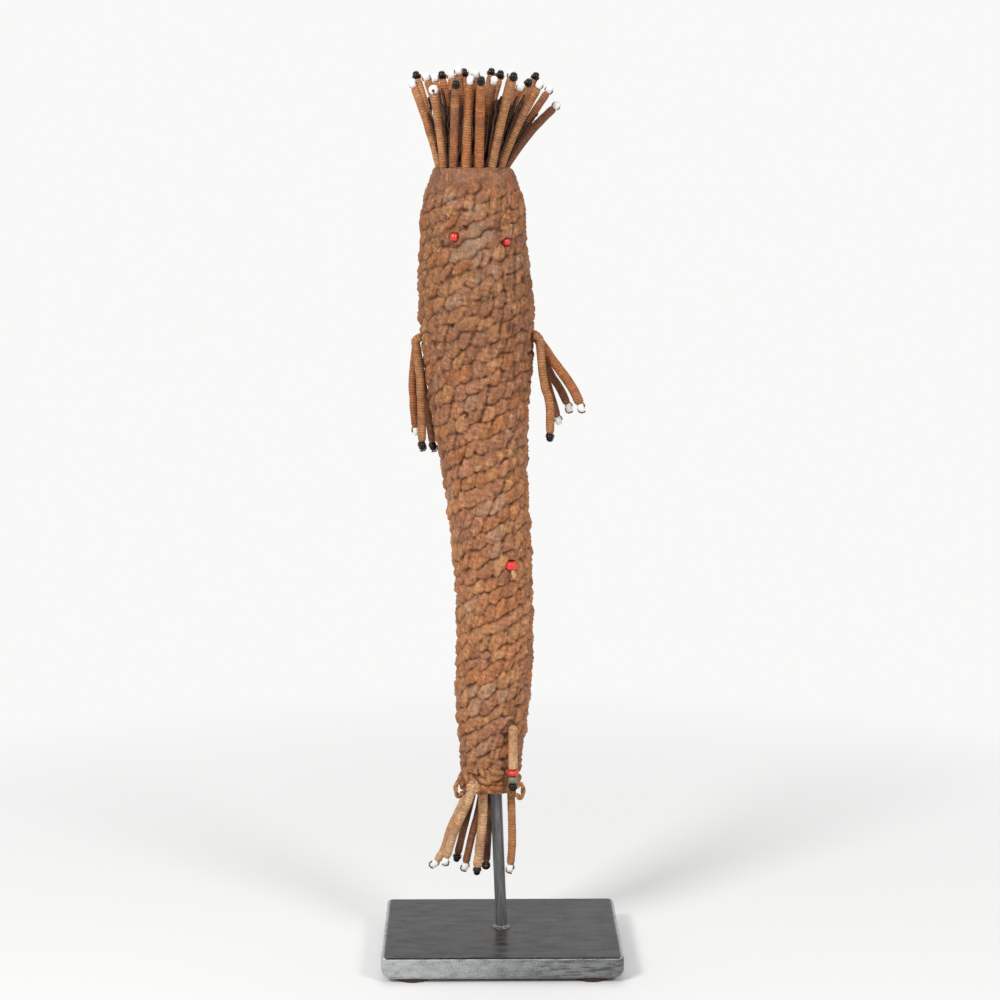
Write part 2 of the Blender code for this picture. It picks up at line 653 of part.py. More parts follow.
def main():
    """Clears the scene and builds every piece in place."""
    for old in list(bpy.data.objects):
        bpy.data.objects.remove(old)
    build_plate()
    build_pads()
    build_rod()
    build_weld()
    build_core()
    build_cover()
    build_face()
    build_hair()
    build_arm(-1, LEFT_SHOULDER_SHARE, LEFT_ARM_SHARES, "left")
    build_arm(1, RIGHT_SHOULDER_SHARE, RIGHT_ARM_SHARES, "right")
    build_legs()
    build_pendant()
    build_loop("cord_loop_left", -1, LEFT_LOOP_SHARES, LEFT_LOOP_FORWARD_SHARE)
    build_loop("cord_loop_right", 1, RIGHT_LOOP_SHARES, RIGHT_LOOP_FORWARD_SHARE)


main()
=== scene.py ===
"""Looks for the corded doll on its steel stand: each piece that shows, its finish, and the studio.

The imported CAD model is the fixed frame. Every piece is measured from it, rides on one of its
bodies and stands for its nodes. Lengths are in metres and angles in radians, unless a name says
otherwise.
"""

import logging
import math
from dataclasses import dataclass, fields, replace
from enum import Enum

import bpy
import numpy as np
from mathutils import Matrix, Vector
from mathutils.bvhtree import BVHTree


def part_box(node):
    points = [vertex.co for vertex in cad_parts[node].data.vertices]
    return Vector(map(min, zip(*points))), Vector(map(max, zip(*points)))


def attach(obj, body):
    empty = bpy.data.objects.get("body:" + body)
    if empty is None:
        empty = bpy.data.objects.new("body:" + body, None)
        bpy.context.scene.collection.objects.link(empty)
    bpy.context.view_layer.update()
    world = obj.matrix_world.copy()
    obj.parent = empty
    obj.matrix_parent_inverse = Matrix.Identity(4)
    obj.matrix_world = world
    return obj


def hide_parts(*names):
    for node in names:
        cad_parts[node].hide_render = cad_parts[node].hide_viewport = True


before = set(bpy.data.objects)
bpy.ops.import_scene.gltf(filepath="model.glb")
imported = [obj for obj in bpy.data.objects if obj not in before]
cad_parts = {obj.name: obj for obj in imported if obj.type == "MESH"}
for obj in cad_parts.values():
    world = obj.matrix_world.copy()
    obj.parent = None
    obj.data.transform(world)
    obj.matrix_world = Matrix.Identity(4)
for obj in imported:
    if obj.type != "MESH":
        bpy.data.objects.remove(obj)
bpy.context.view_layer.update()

MM = 0.001
LOG = logging.getLogger("doll")
Array = np.ndarray
Pair = tuple[float, float]
Triple = tuple[float, float, float]
Span = tuple[float, float, float, float]
Colour = Triple
Socket = bpy.types.NodeSocket


class Slot(Enum):
    """The record's material slots, which the finishes name."""

    STEEL = "steel"
    BRAZE = "braze"
    FELT = "felt"
    HUSK = "husk"
    CORD = "cord"
    STRAND = "strand"
    RED_GLASS = "red_glass"
    GREEN_GLASS = "green_glass"
    BLACK_GLASS = "black_glass"


class Fibre(Enum):
    """The colours of the plant fibre, as linear red, green and blue."""

    TAN = (0.410, 0.182, 0.070)
    PINK = (0.325, 0.133, 0.067)
    ORANGE = (0.370, 0.128, 0.039)
    GREY = (0.362, 0.215, 0.130)
    BROWN = (0.235, 0.088, 0.038)
    DARK = (0.100, 0.038, 0.018)
    RUST = (0.380, 0.085, 0.030)
    PALE = (0.590, 0.338, 0.176)


class Glass(Enum):
    """The glass colours of the beads."""

    WHITE = "white"
    BLACK = "black"
    RED = "red"
    GREEN = "green"


class Facing(Enum):
    """Which way a bead's hole points."""

    ALONG = "along the strand"
    SIDEWAYS = "across the strand, to the side"
    FORWARD = "across the strand, to the front"


def unit(vectors: Array) -> Array:
    """The vector, or each row of vectors, at length one."""
    return vectors / np.maximum(np.linalg.norm(vectors, axis=-1, keepdims=True), 1e-12)


def ease(values: Array, low: float, high: float) -> Array:
    """Zero below the low value, one above the high one, and a smooth step between them."""
    share = np.clip((values - low) / (high - low), 0, 1)
    return share * share * (3 - 2 * share)


def box_of(node: str) -> tuple[Array, Array]:
    """The low and the high corner of a CAD node's box."""
    low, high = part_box(node)
    return np.array(low), np.array(high)


def middle_of(node: str) -> tuple[Array, Array]:
    """The middle of a CAD node's box, and half its size each way."""
    low, high = box_of(node)
    return (low + high) / 2, (high - low) / 2


class Ripple:
    """Smooth noise in space: a sum of sine waves with fixed directions and phases."""

    LENGTHS = (0.65, 1.5)

    def __init__(self, seed: int, wavelength: float, waves: int = 10) -> None:
        """Chooses the waves.

        Args:
            seed: Fixes the choice.
            wavelength: The middle distance between crests.
            waves: How many waves are added up.
        """
        rng = np.random.default_rng(seed)
        lengths = wavelength * rng.uniform(*self.LENGTHS, (waves, 1))
        self.ways = unit(rng.normal(size=(waves, 3))) * (2 * math.pi / lengths)
        self.phases = rng.uniform(0, 2 * math.pi, waves)

    def at(self, points: Array) -> Array:
        """The noise at each point, mostly between minus one and one."""
        waves = np.sin(points @ self.ways.T + self.phases)
        return waves.sum(-1) / math.sqrt(2 * len(self.phases))


def resampled(points: Array, step: float) -> Array:
    """Points an even step apart along the straight runs between the given ones.

    Args:
        points: The corners of the runs.
        step: The distance between the new points.

    Returns:
        The new points, from the first corner to the last.
    """
    lengths = np.linalg.norm(np.diff(points, axis=0), axis=1)
    along = np.concatenate([[0], np.cumsum(lengths)])
    count = max(int(round(along[-1] / step)), 2)
    places = np.linspace(0, along[-1], count + 1)
    return np.stack([np.interp(places, along, points[:, k]) for k in range(points.shape[1])], 1)


def smooth_line(points: Array, step: float, fineness: int = 16) -> Array:
    """Points an even step apart along a smooth curve through the given ones.

    Args:
        points: The points that the curve passes through.
        step: The distance between the new points.
        fineness: How many points the curve is worked out at between two given ones.

    Returns:
        The new points, from the first given point to the last.
    """
    points = np.asarray(points, float)
    ends = np.vstack([2 * points[0] - points[1], points, 2 * points[-1] - points[-2]])
    dense = []
    for i in range(len(points) - 1):
        a, b, c, d = ends[i : i + 4]
        t = np.linspace(0, 1, fineness, endpoint=False)[:, None]
        curve = 2 * b + (c - a) * t + (2 * a - 5 * b + 4 * c - d) * t**2
        dense.append((curve + (3 * b - a - 3 * c + d) * t**3) / 2)
    dense.append(points[-1:])
    return resampled(np.vstack(dense), step)


def distance_along(line: Array) -> Array:
    """How far along a line of evenly spaced points each point is."""
    step = np.linalg.norm(np.diff(line, axis=0), axis=1).mean()
    return np.arange(len(line)) * step


def carried_frames(line: Array) -> tuple[Array, Array]:
    """The directions across a line at each point, turning with it and never about it.

    Args:
        line: The points of the line.

    Returns:
        At each point, two ways across the line.
    """
    nearly_parallel = 0.1
    along = unit(np.gradient(line, axis=0))
    first = np.zeros_like(along)
    start = np.cross(along[0], [0.0, 1.0, 0.0])
    if np.linalg.norm(start) < nearly_parallel:
        start = np.cross(along[0], [1.0, 0.0, 0.0])
    first[0] = unit(start)
    for i in range(1, len(line)):
        first[i] = unit(first[i - 1] - along[i] * (first[i - 1] @ along[i]))
    return first, np.cross(along, first)


def rings_round(line: Array, angles: Array, reach: Array) -> Array:
    """Rings of points round a line.

    Args:
        line: The points of the line.
        angles: The angle at which each point of a ring stands.
        reach: How far off the line the points of each ring stand.

    Returns:
        The points, ring by ring.
    """
    first, second = carried_frames(line)
    ways = first[:, None] * np.cos(angles)[:, None] + second[:, None] * np.sin(angles)[:, None]
    return line[:, None] + ways * reach[..., None]


def even_angles(sides: int) -> Array:
    """Angles evenly spaced round a full turn, the first at zero."""
    return np.linspace(0, 2 * math.pi, sides, endpoint=False)


def level_circle(sides: int) -> Array:
    """Points evenly spaced round a level circle with a radius of one."""
    turns = even_angles(sides)
    return np.stack([np.cos(turns), np.sin(turns), np.zeros_like(turns)], 1)


def quarter_round(turned: Array) -> Array:
    """The width of a rounded end: zero at its tip, and one where this share reaches one."""
    return np.sqrt(1 - (1 - np.clip(turned, 0, 1)) ** 2)


@dataclass
class Skin:
    """A grid of points that closes on itself across, with what its finish needs to know."""

    points: Array
    tone: Array | None = None
    depth: Array | None = None
    grain: Array | None = None
    capped: bool = True
    open_end: bool = False

    def faces(self) -> list[list[int]]:
        """The grid's four-sided faces, with a cap at each end that isn't left open.

        Returns:
            Each face, as the numbers of its points.
        """
        rows, columns = self.points.shape[:2]
        here = np.arange(columns)
        beside = (here + 1) % columns
        faces = []
        for row in range(rows - 1):
            low = row * columns
            high = low + columns
            faces.append(np.stack([low + here, low + beside, high + beside, high + here], 1))
        quads = np.vstack(faces).tolist()
        if self.capped:
            quads.append(list(reversed(range(columns))))
        if self.capped and not self.open_end:
            quads.append(list(range((rows - 1) * columns, rows * columns)))
        return quads


def make_object(name: str, skins: list[Skin], material: bpy.types.Material) -> bpy.types.Object:
    """One mesh object from several skins.

    Args:
        name: The object's name.
        skins: The skins that make it up.
        material: Its finish.

    Returns:
        The new object, linked to the scene.
    """
    points, faces, tones, depths, grains = [], [], [], [], []
    count = 0
    for skin in skins:
        flat = skin.points.reshape(-1, 3)
        points.append(flat)
        faces += [[i + count for i in face] for face in skin.faces()]
        count += len(flat)
        tone = skin.tone if skin.tone is not None else np.array(Fibre.TAN.value)
        tones.append(np.broadcast_to(tone, (*skin.points.shape[:2], 3)).reshape(-1, 3))
        depth = skin.depth if skin.depth is not None else np.ones(skin.points.shape[:2])
        depths.append(np.broadcast_to(depth, skin.points.shape[:2]).reshape(-1))
        grain = skin.grain if skin.grain is not None else skin.points
        grains.append(np.broadcast_to(grain, skin.points.shape).reshape(-1, 3))
    mesh = bpy.data.meshes.new(name)
    mesh.from_pydata(np.vstack(points).tolist(), [], faces)
    colours = np.ones((count, 4))
    colours[:, :3] = np.vstack(tones)
    mesh.color_attributes.new("tone", "FLOAT_COLOR", "POINT").data.foreach_set("color", colours.ravel())
    mesh.attributes.new("depth", "FLOAT", "POINT").data.foreach_set("value", np.concatenate(depths))
    grain_layer = mesh.attributes.new("grain", "FLOAT_VECTOR", "POINT")
    grain_layer.data.foreach_set("vector", np.vstack(grains).ravel())
    mesh.materials.append(material)
    mesh.shade_smooth()
    mesh.update()
    made = bpy.data.objects.new(name, mesh)
    bpy.context.scene.collection.objects.link(made)
    return made


class Wiring:
    """The node tree of a material or of the world, with a short call for each kind of node."""

    def __init__(self, owner: bpy.types.Material | bpy.types.World) -> None:
        """Turns on the nodes.

        Args:
            owner: The new material or world.
        """
        owner.use_nodes = True
        self.nodes = owner.node_tree.nodes
        self.links = owner.node_tree.links
        self.shader = self.nodes.get("Principled BSDF")

    def put(self, target: Socket, value: object) -> None:
        """Wires a socket into the target, or sets the target's own value.

        Args:
            target: The socket that takes the value.
            value: Another socket, or a plain value.
        """
        if isinstance(value, Socket):
            self.links.new(value, target)
        else:
            target.default_value = value

    def add(self, kind: str, inputs: dict[str | int, object], **settings: object) -> bpy.types.Node:
        """Adds a node.

        Args:
            kind: Its type's name, without what every shader node's name starts with.
            inputs: What goes into its sockets, by their names or numbers.
            settings: Its own settings.

        Returns:
            The node.
        """
        node = self.nodes.new(f"ShaderNode{kind}")
        for name, setting in settings.items():
            setattr(node, name, setting)
        for socket, value in inputs.items():
            self.put(node.inputs[socket], value)
        return node

    def surface(self, **values: object) -> None:
        """Sets the shader's sockets, each named with underscores for its spaces."""
        for name, value in values.items():
            self.put(self.shader.inputs[name.replace("_", " ")], value)

    def attribute(self, name: str, output: str) -> Socket:
        """One of the mesh's own values, read as this kind of output."""
        return self.add("Attribute", {}, attribute_name=name).outputs[output]

    def place(self) -> Socket:
        """The point on the object, in metres."""
        return self.add("TexCoord", {}).outputs["Object"]

    def place_parts(self) -> bpy.types.NodeOutputs:
        """The point on the object, as its X, Y and Z in metres."""
        return self.add("SeparateXYZ", {0: self.place()}).outputs

    def distance(self, start: Triple = (0.0, 0.0, 0.0)) -> Socket:
        """How far the point on the object is from this one, in metres."""
        apart = self.add("VectorMath", {0: self.place(), 1: start}, operation="DISTANCE")
        return apart.outputs["Value"]

    def noise(
        self,
        where: Socket,
        size: float,
        detail: float = 3.0,
        stretch: Triple = (1.0, 1.0, 1.0),
        wander: float = 0.0,
    ) -> Socket:
        """Cloudy noise.

        Args:
            where: The point that it is read at.
            size: How wide its clouds are.
            detail: How many finer layers it has.
            stretch: How much longer the clouds are along each axis.
            wander: How far the clouds are pulled out of line.

        Returns:
            The noise, about a half on average.
        """
        scale = tuple(1 / (size * s) for s in stretch)
        where = self.add("Mapping", {"Vector": where, "Scale": scale}).outputs["Vector"]
        clouds = {"Vector": where, "Scale": 1.0, "Detail": detail, "Distortion": wander}
        return self.add("TexNoise", clouds).outputs[0]

    def span(
        self, value: Socket, low: float, high: float, new_low: float = 0.0, new_high: float = 1.0
    ) -> Socket:
        """Maps a value from the low and the high end to the new ones, and holds it there."""
        return self.add("MapRange", dict(enumerate((value, low, high, new_low, new_high)))).outputs[0]

    def sums(self, operation: str, a: object, b: object) -> Socket:
        """One step of arithmetic on two values, each a number or a socket."""
        return self.add("Math", {0: a, 1: b}, operation=operation).outputs[0]

    def mix(self, share: object, a: object, b: object, way: str = "MIX") -> Socket:
        """Mixes two colours.

        Args:
            share: How much of the second one shows.
            a: The first colour, as a socket or as linear red, green and blue.
            b: The second colour, in the same way.
            way: The blend's name.

        Returns:
            The mixed colour.
        """
        a, b = (colour if isinstance(colour, Socket) else (*colour, 1.0) for colour in (a, b))
        return self.add("Mix", {0: share, 6: a, 7: b}, data_type="RGBA", blend_type=way).outputs[2]

    def shaded(self, colour: Socket, value: Socket, span: Span) -> Socket:
        """Multiplies a colour by a value, once the value is mapped to a span of shades."""
        return self.mix(1.0, colour, self.span(value, *span), "MULTIPLY")

    def bump(self, height: Socket, distance: float, strength: float) -> None:
        """Raises the surface by up to this distance, at this strength, as far as light can tell."""
        bump = self.add("Bump", {"Strength": strength, "Distance": distance, "Height": height})
        self.surface(Normal=bump.outputs["Normal"])


@dataclass(frozen=True)
class Finish:
    """A named surface finish, wired once and shared by the pieces that have it.

    A span of a finish is the noise's low and high value, and what each is mapped to.
    """

    name: str
    slot: Slot | None

    def material(self) -> bpy.types.Material:
        """The finish's material, made the first time it is asked for.

        Returns:
            The material.
        """
        label = f"finish_{self.name}"
        found = bpy.data.materials.get(label)
        if found is None:
            found = bpy.data.materials.new(label)
            self.wire(Wiring(found))
        return found

    def wire(self, wiring: Wiring) -> None:
        """Wires the finish's nodes."""
        raise NotImplementedError


@dataclass(frozen=True)
class FibreFinish(Finish):
    """Plant fibre: streaks that run with the grain, blotches, painted shade in the creases and a painted
    highlight on the raised tops.
    """

    streak: float = 0.42 * MM
    streak_length: float = 4.0
    streak_span: Span = (0.25, 0.75, 0.70, 1.28)
    wander: float = 0.9
    blotch: float = 2.4 * MM
    blotch_span: Span = (0.30, 0.70, 0.74, 1.24)
    speck: float = 0.55 * MM
    speck_span: Span = (0.30, 0.70, 0.76, 1.22)
    dust: Colour = (0.52, 0.36, 0.245)
    dust_share: float = 0.36
    dust_noise: Pair = (0.29, 0.42)
    # Painted shade: this dark colour is mixed in where the depth attribute is low, in the creases.
    crevice_shade: Colour = (0.070, 0.024, 0.012)
    crevice_shade_share: float = 0.85
    crease_end: float = 0.50
    # Painted shade in the hollows and a painted highlight on the raised tops: the colour is scaled by the
    # depth attribute.
    edge_depth: float = 0.2
    hollow_shade: float = 0.72
    top_highlight: float = 1.08
    roughness: float = 0.66
    roughness_spread: float = 0.1
    specular: float = 0.35
    relief: float = 0.18 * MM
    relief_strength: float = 0.8

    def wire(self, wiring: Wiring) -> None:
        """Wires the finish's nodes.

        Args:
            wiring: The new material's wiring.
        """
        grain = wiring.attribute("grain", "Vector")
        where = wiring.place()
        along = (1.0, self.streak_length, 1.0)
        streaks = wiring.noise(grain, self.streak, stretch=along, wander=self.wander)
        blotches = wiring.noise(where, self.blotch, 5.0)
        specks = wiring.noise(where, self.speck)
        colour = wiring.attribute("tone", "Color")
        colour = wiring.shaded(colour, streaks, self.streak_span)
        colour = wiring.shaded(colour, blotches, self.blotch_span)
        colour = wiring.shaded(colour, specks, self.speck_span)
        dusty = wiring.sums("MULTIPLY", specks, blotches)
        dusty = wiring.span(dusty, *self.dust_noise, 0.0, self.dust_share)
        colour = wiring.mix(dusty, colour, self.dust)
        depth = wiring.attribute("depth", "Fac")
        # Painted light: darker where the depth attribute is low, lighter where it is high.
        raised = (self.edge_depth, 1.0, self.hollow_shade, self.top_highlight)
        colour = wiring.shaded(colour, depth, raised)
        # Painted shade in the creases, by the depth attribute.
        crevice_shade = wiring.span(depth, 0.0, self.crease_end, self.crevice_shade_share, 0.0)
        colour = wiring.mix(crevice_shade, colour, self.crevice_shade)
        least, most = self.roughness - self.roughness_spread, self.roughness + self.roughness_spread
        rough = wiring.span(blotches, 0.3, 0.7, least, most)
        wiring.surface(Base_Color=colour, Roughness=rough, Specular_IOR_Level=self.specular)
        height = wiring.sums("ADD", streaks, wiring.sums("MULTIPLY", specks, 0.5))
        wiring.bump(height, self.relief, self.relief_strength)


@dataclass(frozen=True)
class GlassFinish(Finish):
    """Glossy bead glass, faintly uneven."""

    colour: Colour = (0.8, 0.8, 0.8)
    second: Colour = (0.7, 0.7, 0.7)
    roughness: float = 0.12
    specular: float = 0.5
    cloud: float = 1.1 * MM
    relief: float = 0.05 * MM
    relief_strength: float = 0.3

    def wire(self, wiring: Wiring) -> None:
        """Wires the finish's nodes.

        Args:
            wiring: The new material's wiring.
        """
        clouds = wiring.noise(wiring.place(), self.cloud, 2.0)
        colour = wiring.mix(wiring.span(clouds, 0.35, 0.65), self.colour, self.second)
        wiring.surface(Base_Color=colour, Roughness=self.roughness, Specular_IOR_Level=self.specular)
        wiring.bump(clouds, self.relief, self.relief_strength)


@dataclass(frozen=True)
class SteelFinish(Finish):
    """Bare or oxidised steel, mottled and faintly scratched along one axis."""

    colour: Colour = (0.10, 0.10, 0.10)
    second: Colour = (0.14, 0.14, 0.14)
    mottle: float = 4.0 * MM
    speck: float = 0.6 * MM
    speck_colour: Colour = (0.3, 0.3, 0.3)
    speck_noise: Pair = (0.40, 0.74)
    speck_share: float = 0.3
    scratch: float = 0.25 * MM
    stretch: Triple = (3.0, 1.0, 1.0)
    metallic: float = 0.3
    roughness: float = 0.5
    roughness_spread: float = 0.07
    specular: float = 0.3
    relief: float = 0.06 * MM
    relief_strength: float = 0.35

    def wire(self, wiring: Wiring) -> None:
        """Wires the finish's nodes.

        Args:
            wiring: The new material's wiring.
        """
        where = wiring.place()
        mottle = wiring.noise(where, self.mottle, 5.0, self.stretch)
        specks = wiring.noise(where, self.speck, stretch=self.stretch)
        long = tuple(8.0 * s for s in self.stretch)
        scratches = wiring.noise(where, self.scratch, 2.0, long)
        colour = wiring.mix(wiring.span(mottle, 0.33, 0.67), self.colour, self.second)
        share = wiring.span(specks, *self.speck_noise, 0.0, self.speck_share)
        colour = self.aged(wiring, wiring.mix(share, colour, self.speck_colour), mottle)
        least, most = self.roughness - self.roughness_spread, self.roughness + self.roughness_spread
        wiring.surface(
            Base_Color=colour,
            Roughness=wiring.span(mottle, 0.3, 0.7, least, most),
            Metallic=self.metallic,
            Specular_IOR_Level=self.specular,
        )
        wiring.bump(wiring.sums("ADD", specks, scratches), self.relief, self.relief_strength)

    def aged(self, wiring: Wiring, colour: Socket, mottle: Socket) -> Socket:
        """The colour once the steel has aged, which plain steel hasn't."""
        return colour


@dataclass(frozen=True)
class PlateSideFinish(SteelFinish):
    """The plate's edge: a painted reflection that leaves it lighter to the left and darker to the right,
    smears to the right and a painted highlight along its arris.
    """

    # Painted reflection: the edge is lighter to the left and darker to the right.
    reflection_fade: float = 0.42
    reflection_reach: float = 50.0 * MM
    reflection_ragged: float = 0.3
    smear: float = 0.85 * MM
    smear_stretch: Triple = (7.0, 7.0, 1.0)
    smear_span_shares: Pair = (-0.5, 0.6)
    smear_noise: Pair = (0.42, 0.62)
    smear_colour: Colour = (0.045, 0.046, 0.047)
    # Painted highlight: a light band along the arris just under the top.
    highlight_height: float = 10.2 * MM
    highlight_tall: float = 0.5 * MM
    highlight_span: Span = (0.30, 0.62, 0.0, 0.85)
    highlight_colour: Colour = (0.66, 0.66, 0.65)

    def aged(self, wiring: Wiring, colour: Socket, mottle: Socket) -> Socket:
        """Paints a reflection that fades from left to right, smears the steel and paints a highlight along
        its arris.

        Args:
            wiring: The new material's wiring.
            colour: The steel's own colour.
            mottle: The noise that its mottling follows.

        Returns:
            The aged colour.
        """
        parts = wiring.place_parts()
        reach = self.reflection_reach
        ragged = wiring.span(mottle, 0.3, 0.7, -self.reflection_ragged, self.reflection_ragged)
        along = wiring.sums("ADD", parts["X"], wiring.sums("MULTIPLY", ragged, reach))
        # Painted reflection, lighter to the left and darker to the right.
        colour = wiring.shaded(colour, along, (-reach, reach, 1 + self.reflection_fade, 1 - self.reflection_fade))
        smears = wiring.noise(wiring.place(), self.smear, stretch=self.smear_stretch)
        start, end = (share * reach for share in self.smear_span_shares)
        dark = wiring.span(parts["X"], start, end, 0.0, 0.75)
        dark = wiring.sums("MULTIPLY", dark, wiring.span(smears, *self.smear_noise))
        colour = wiring.mix(dark, colour, self.smear_colour)
        # Painted highlight along the arris.
        brightness = wiring.span(parts["Z"], self.highlight_height, self.highlight_height + self.highlight_tall)
        brightness = wiring.sums("MULTIPLY", brightness, wiring.span(mottle, *self.highlight_span))
        return wiring.mix(brightness, colour, self.highlight_colour)


@dataclass(frozen=True)
class PlateTopFinish(SteelFinish):
    """The plate's top: steel painted dark as a reflection of dark surroundings, with a brown heat stain
    beside the rod and a painted highlight along its two short edges.
    """

    stain_place: Triple = (-5.5 * MM, -7.5 * MM, 11.3 * MM)
    stain_reach: float = 7.0 * MM
    stain_shares: Pair = (0.5, 1.5)
    stain_colour: Colour = (0.105, 0.062, 0.040)
    # Painted highlight along the top's two short edges.
    edge_highlight_start: float = 49.1 * MM
    edge_highlight_full: float = 50.1 * MM
    edge_highlight_span: Span = (2.6 * MM, 4.6 * MM, 0.45, 1.0)
    edge_highlight_colour: Colour = (0.46, 0.465, 0.47)

    def aged(self, wiring: Wiring, colour: Socket, mottle: Socket) -> Socket:
        """Stains the steel and paints a highlight along its two short edges.

        Args:
            wiring: The new material's wiring.
            colour: The steel's own colour.
            mottle: Not used here.

        Returns:
            The aged colour.
        """
        ragged = wiring.noise(wiring.place(), 3.0 * MM, 4.0)
        ragged = wiring.sums("MULTIPLY", ragged, 9.0 * MM)
        apart = wiring.sums("ADD", wiring.distance(self.stain_place), ragged)
        near, far = (share * self.stain_reach for share in self.stain_shares)
        colour = wiring.mix(wiring.span(apart, near, far, 0.75, 0.0), colour, self.stain_colour)
        # Painted highlight along the two short edges.
        across = wiring.place_parts()["X"]
        out = wiring.sums("MULTIPLY", across, across)
        brightness = wiring.span(out, self.edge_highlight_start**2, self.edge_highlight_full**2, 0.0, 0.95)
        brightness = wiring.sums("MULTIPLY", brightness, wiring.span(ragged, *self.edge_highlight_span))
        return wiring.mix(brightness, colour, self.edge_highlight_colour)


@dataclass(frozen=True)
class FeltFinish(Finish):
    """Pressed felt: matted fibres with a soft sheen."""

    # The felt's own brown, darkened further as painted shade for the shadow under the plate.
    colour: Colour = (0.075, 0.034, 0.021)
    second: Colour = (0.040, 0.018, 0.012)
    fibre: float = 0.3 * MM
    fibre_stretch: Triple = (1.0, 1.0, 0.5)
    clump: float = 2.0 * MM
    clump_span: Span = (0.3, 0.7, 0.8, 1.15)
    relief: float = 0.2 * MM
    relief_strength: float = 0.8

    def wire(self, wiring: Wiring) -> None:
        """Wires the finish's nodes.

        Args:
            wiring: The new material's wiring.
        """
        where = wiring.place()
        fibres = wiring.noise(where, self.fibre, 4.0, self.fibre_stretch)
        clumps = wiring.noise(where, self.clump)
        colour = wiring.mix(wiring.span(fibres, 0.3, 0.7), self.colour, self.second)
        colour = wiring.shaded(colour, clumps, self.clump_span)
        wiring.surface(Base_Color=colour, Roughness=0.95, Sheen_Weight=0.3, Specular_IOR_Level=0.2)
        wiring.bump(fibres, self.relief, self.relief_strength)


# The crevice colours and shares and the top values below set each fibre finish's painted shade in creases
# and painted highlight on raised tops.
HITCHED = FibreFinish(
    "hitched_fibre", Slot.CORD, crevice_shade=(0.085, 0.029, 0.012), crevice_shade_share=0.80, top_highlight=1.25
)
WRAPPED = FibreFinish(
    "wrapped_thread",
    Slot.STRAND,
    streak=0.25 * MM,
    streak_length=6.0,
    blotch=1.8 * MM,
    dust_share=0.15,
    crevice_shade_share=0.60,
    crease_end=0.84,
    relief=0.10 * MM,
)
LEG_THREAD = replace(WRAPPED, name="leg_thread", crevice_shade_share=0.34, crease_end=0.80)
# Painted shade: the finish of the dark fibre ends that fill the shadowed gaps in the hair.
GAP_SHADE = FibreFinish("gap_shade_fibre", Slot.CORD, dust_share=0.05, top_highlight=1.0, relief=0.10 * MM)
HUSK = FibreFinish("husk", Slot.HUSK, streak=0.6 * MM, crevice_shade_share=0.5)
GLASSES = {
    Glass.WHITE: GlassFinish("white_glass", None, (0.94, 0.93, 0.91), (0.88, 0.87, 0.84), 0.14),
    Glass.BLACK: GlassFinish(
        "black_glass", Slot.BLACK_GLASS, (0.005, 0.004, 0.004), (0.010, 0.008, 0.007), 0.05, 0.24
    ),
    Glass.RED: GlassFinish(
        "red_glass", Slot.RED_GLASS, (0.80, 0.050, 0.030), (0.66, 0.034, 0.022), 0.16
    ),
    Glass.GREEN: GlassFinish("green_glass", Slot.GREEN_GLASS, (0.16, 0.17, 0.12), (0.22, 0.21, 0.15), 0.30),
}
# Painted reflection: the top is painted dark for the dark surroundings it reflects.
PLATE_TOP_STEEL = PlateTopFinish(
    "plate_top",
    Slot.STEEL,
    colour=(0.004, 0.004, 0.005),
    second=(0.074, 0.070, 0.068),
    mottle=3.4 * MM,
    speck_colour=(0.10, 0.10, 0.10),
    speck_share=0.45,
    metallic=0.0,
    roughness=0.32,
    specular=0.14,
)
# Painted reflection: the same steel is painted lighter on the sides for the pale floor they reflect.
PLATE_SIDE_STEEL = PlateSideFinish(
    "plate_side",
    Slot.STEEL,
    colour=(0.098, 0.101, 0.103),
    second=(0.310, 0.318, 0.320),
    mottle=1.9 * MM,
    speck=0.24 * MM,
    speck_colour=(0.60, 0.61, 0.61),
    speck_share=0.74,
    stretch=(2.3, 2.3, 1.2),
    metallic=0.25,
    roughness=0.42,
)
# Painted reflection: the front arris is painted near black for the dark it reflects.
PLATE_ARRIS_DARK_REFLECTION = SteelFinish(
    "plate_arris_dark_reflection",
    Slot.STEEL,
    colour=(0.010, 0.010, 0.010),
    second=(0.022, 0.022, 0.022),
    mottle=2.0 * MM,
    speck_share=0.15,
    metallic=0.0,
    roughness=0.55,
    specular=0.06,
)
ROD_STEEL = SteelFinish(
    "rod_steel",
    Slot.STEEL,
    colour=(0.082, 0.082, 0.084),
    second=(0.146, 0.147, 0.149),
    mottle=0.9 * MM,
    speck_colour=(0.25, 0.257, 0.266),
    speck_share=0.65,
    stretch=(1.0, 1.0, 14.0),
    metallic=0.35,
    roughness=0.42,
)
BRAZE = SteelFinish(
    "braze",
    Slot.BRAZE,
    colour=(0.070, 0.064, 0.058),
    second=(0.120, 0.105, 0.085),
    mottle=1.6 * MM,
    speck=1.3 * MM,
    speck_colour=(0.62, 0.60, 0.55),
    speck_share=0.4,
    stretch=(1.0, 1.0, 1.0),
    metallic=0.7,
    roughness=0.30,
)
FELT = FeltFinish("felt", Slot.FELT)


def make_piece(
    name: str, skins: list[Skin], finish: Finish, body: str, nodes: list[str]
) -> bpy.types.Object:
    """Makes a finished piece, ties it to the frame and reports it.

    Args:
        name: The piece's name.
        skins: The skins that make it up.
        finish: Its finish, which names its slot if it has one.
        body: The CAD body that it moves with.
        nodes: The CAD nodes that it stands for.

    Returns:
        The piece.
    """
    piece = make_object(name, skins, finish.material())
    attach(piece, body)
    if nodes:
        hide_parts(*nodes)
    LOG.info("%s rides on %s and stands for %s", name, body, ", ".join(nodes) or "no node")
    return piece


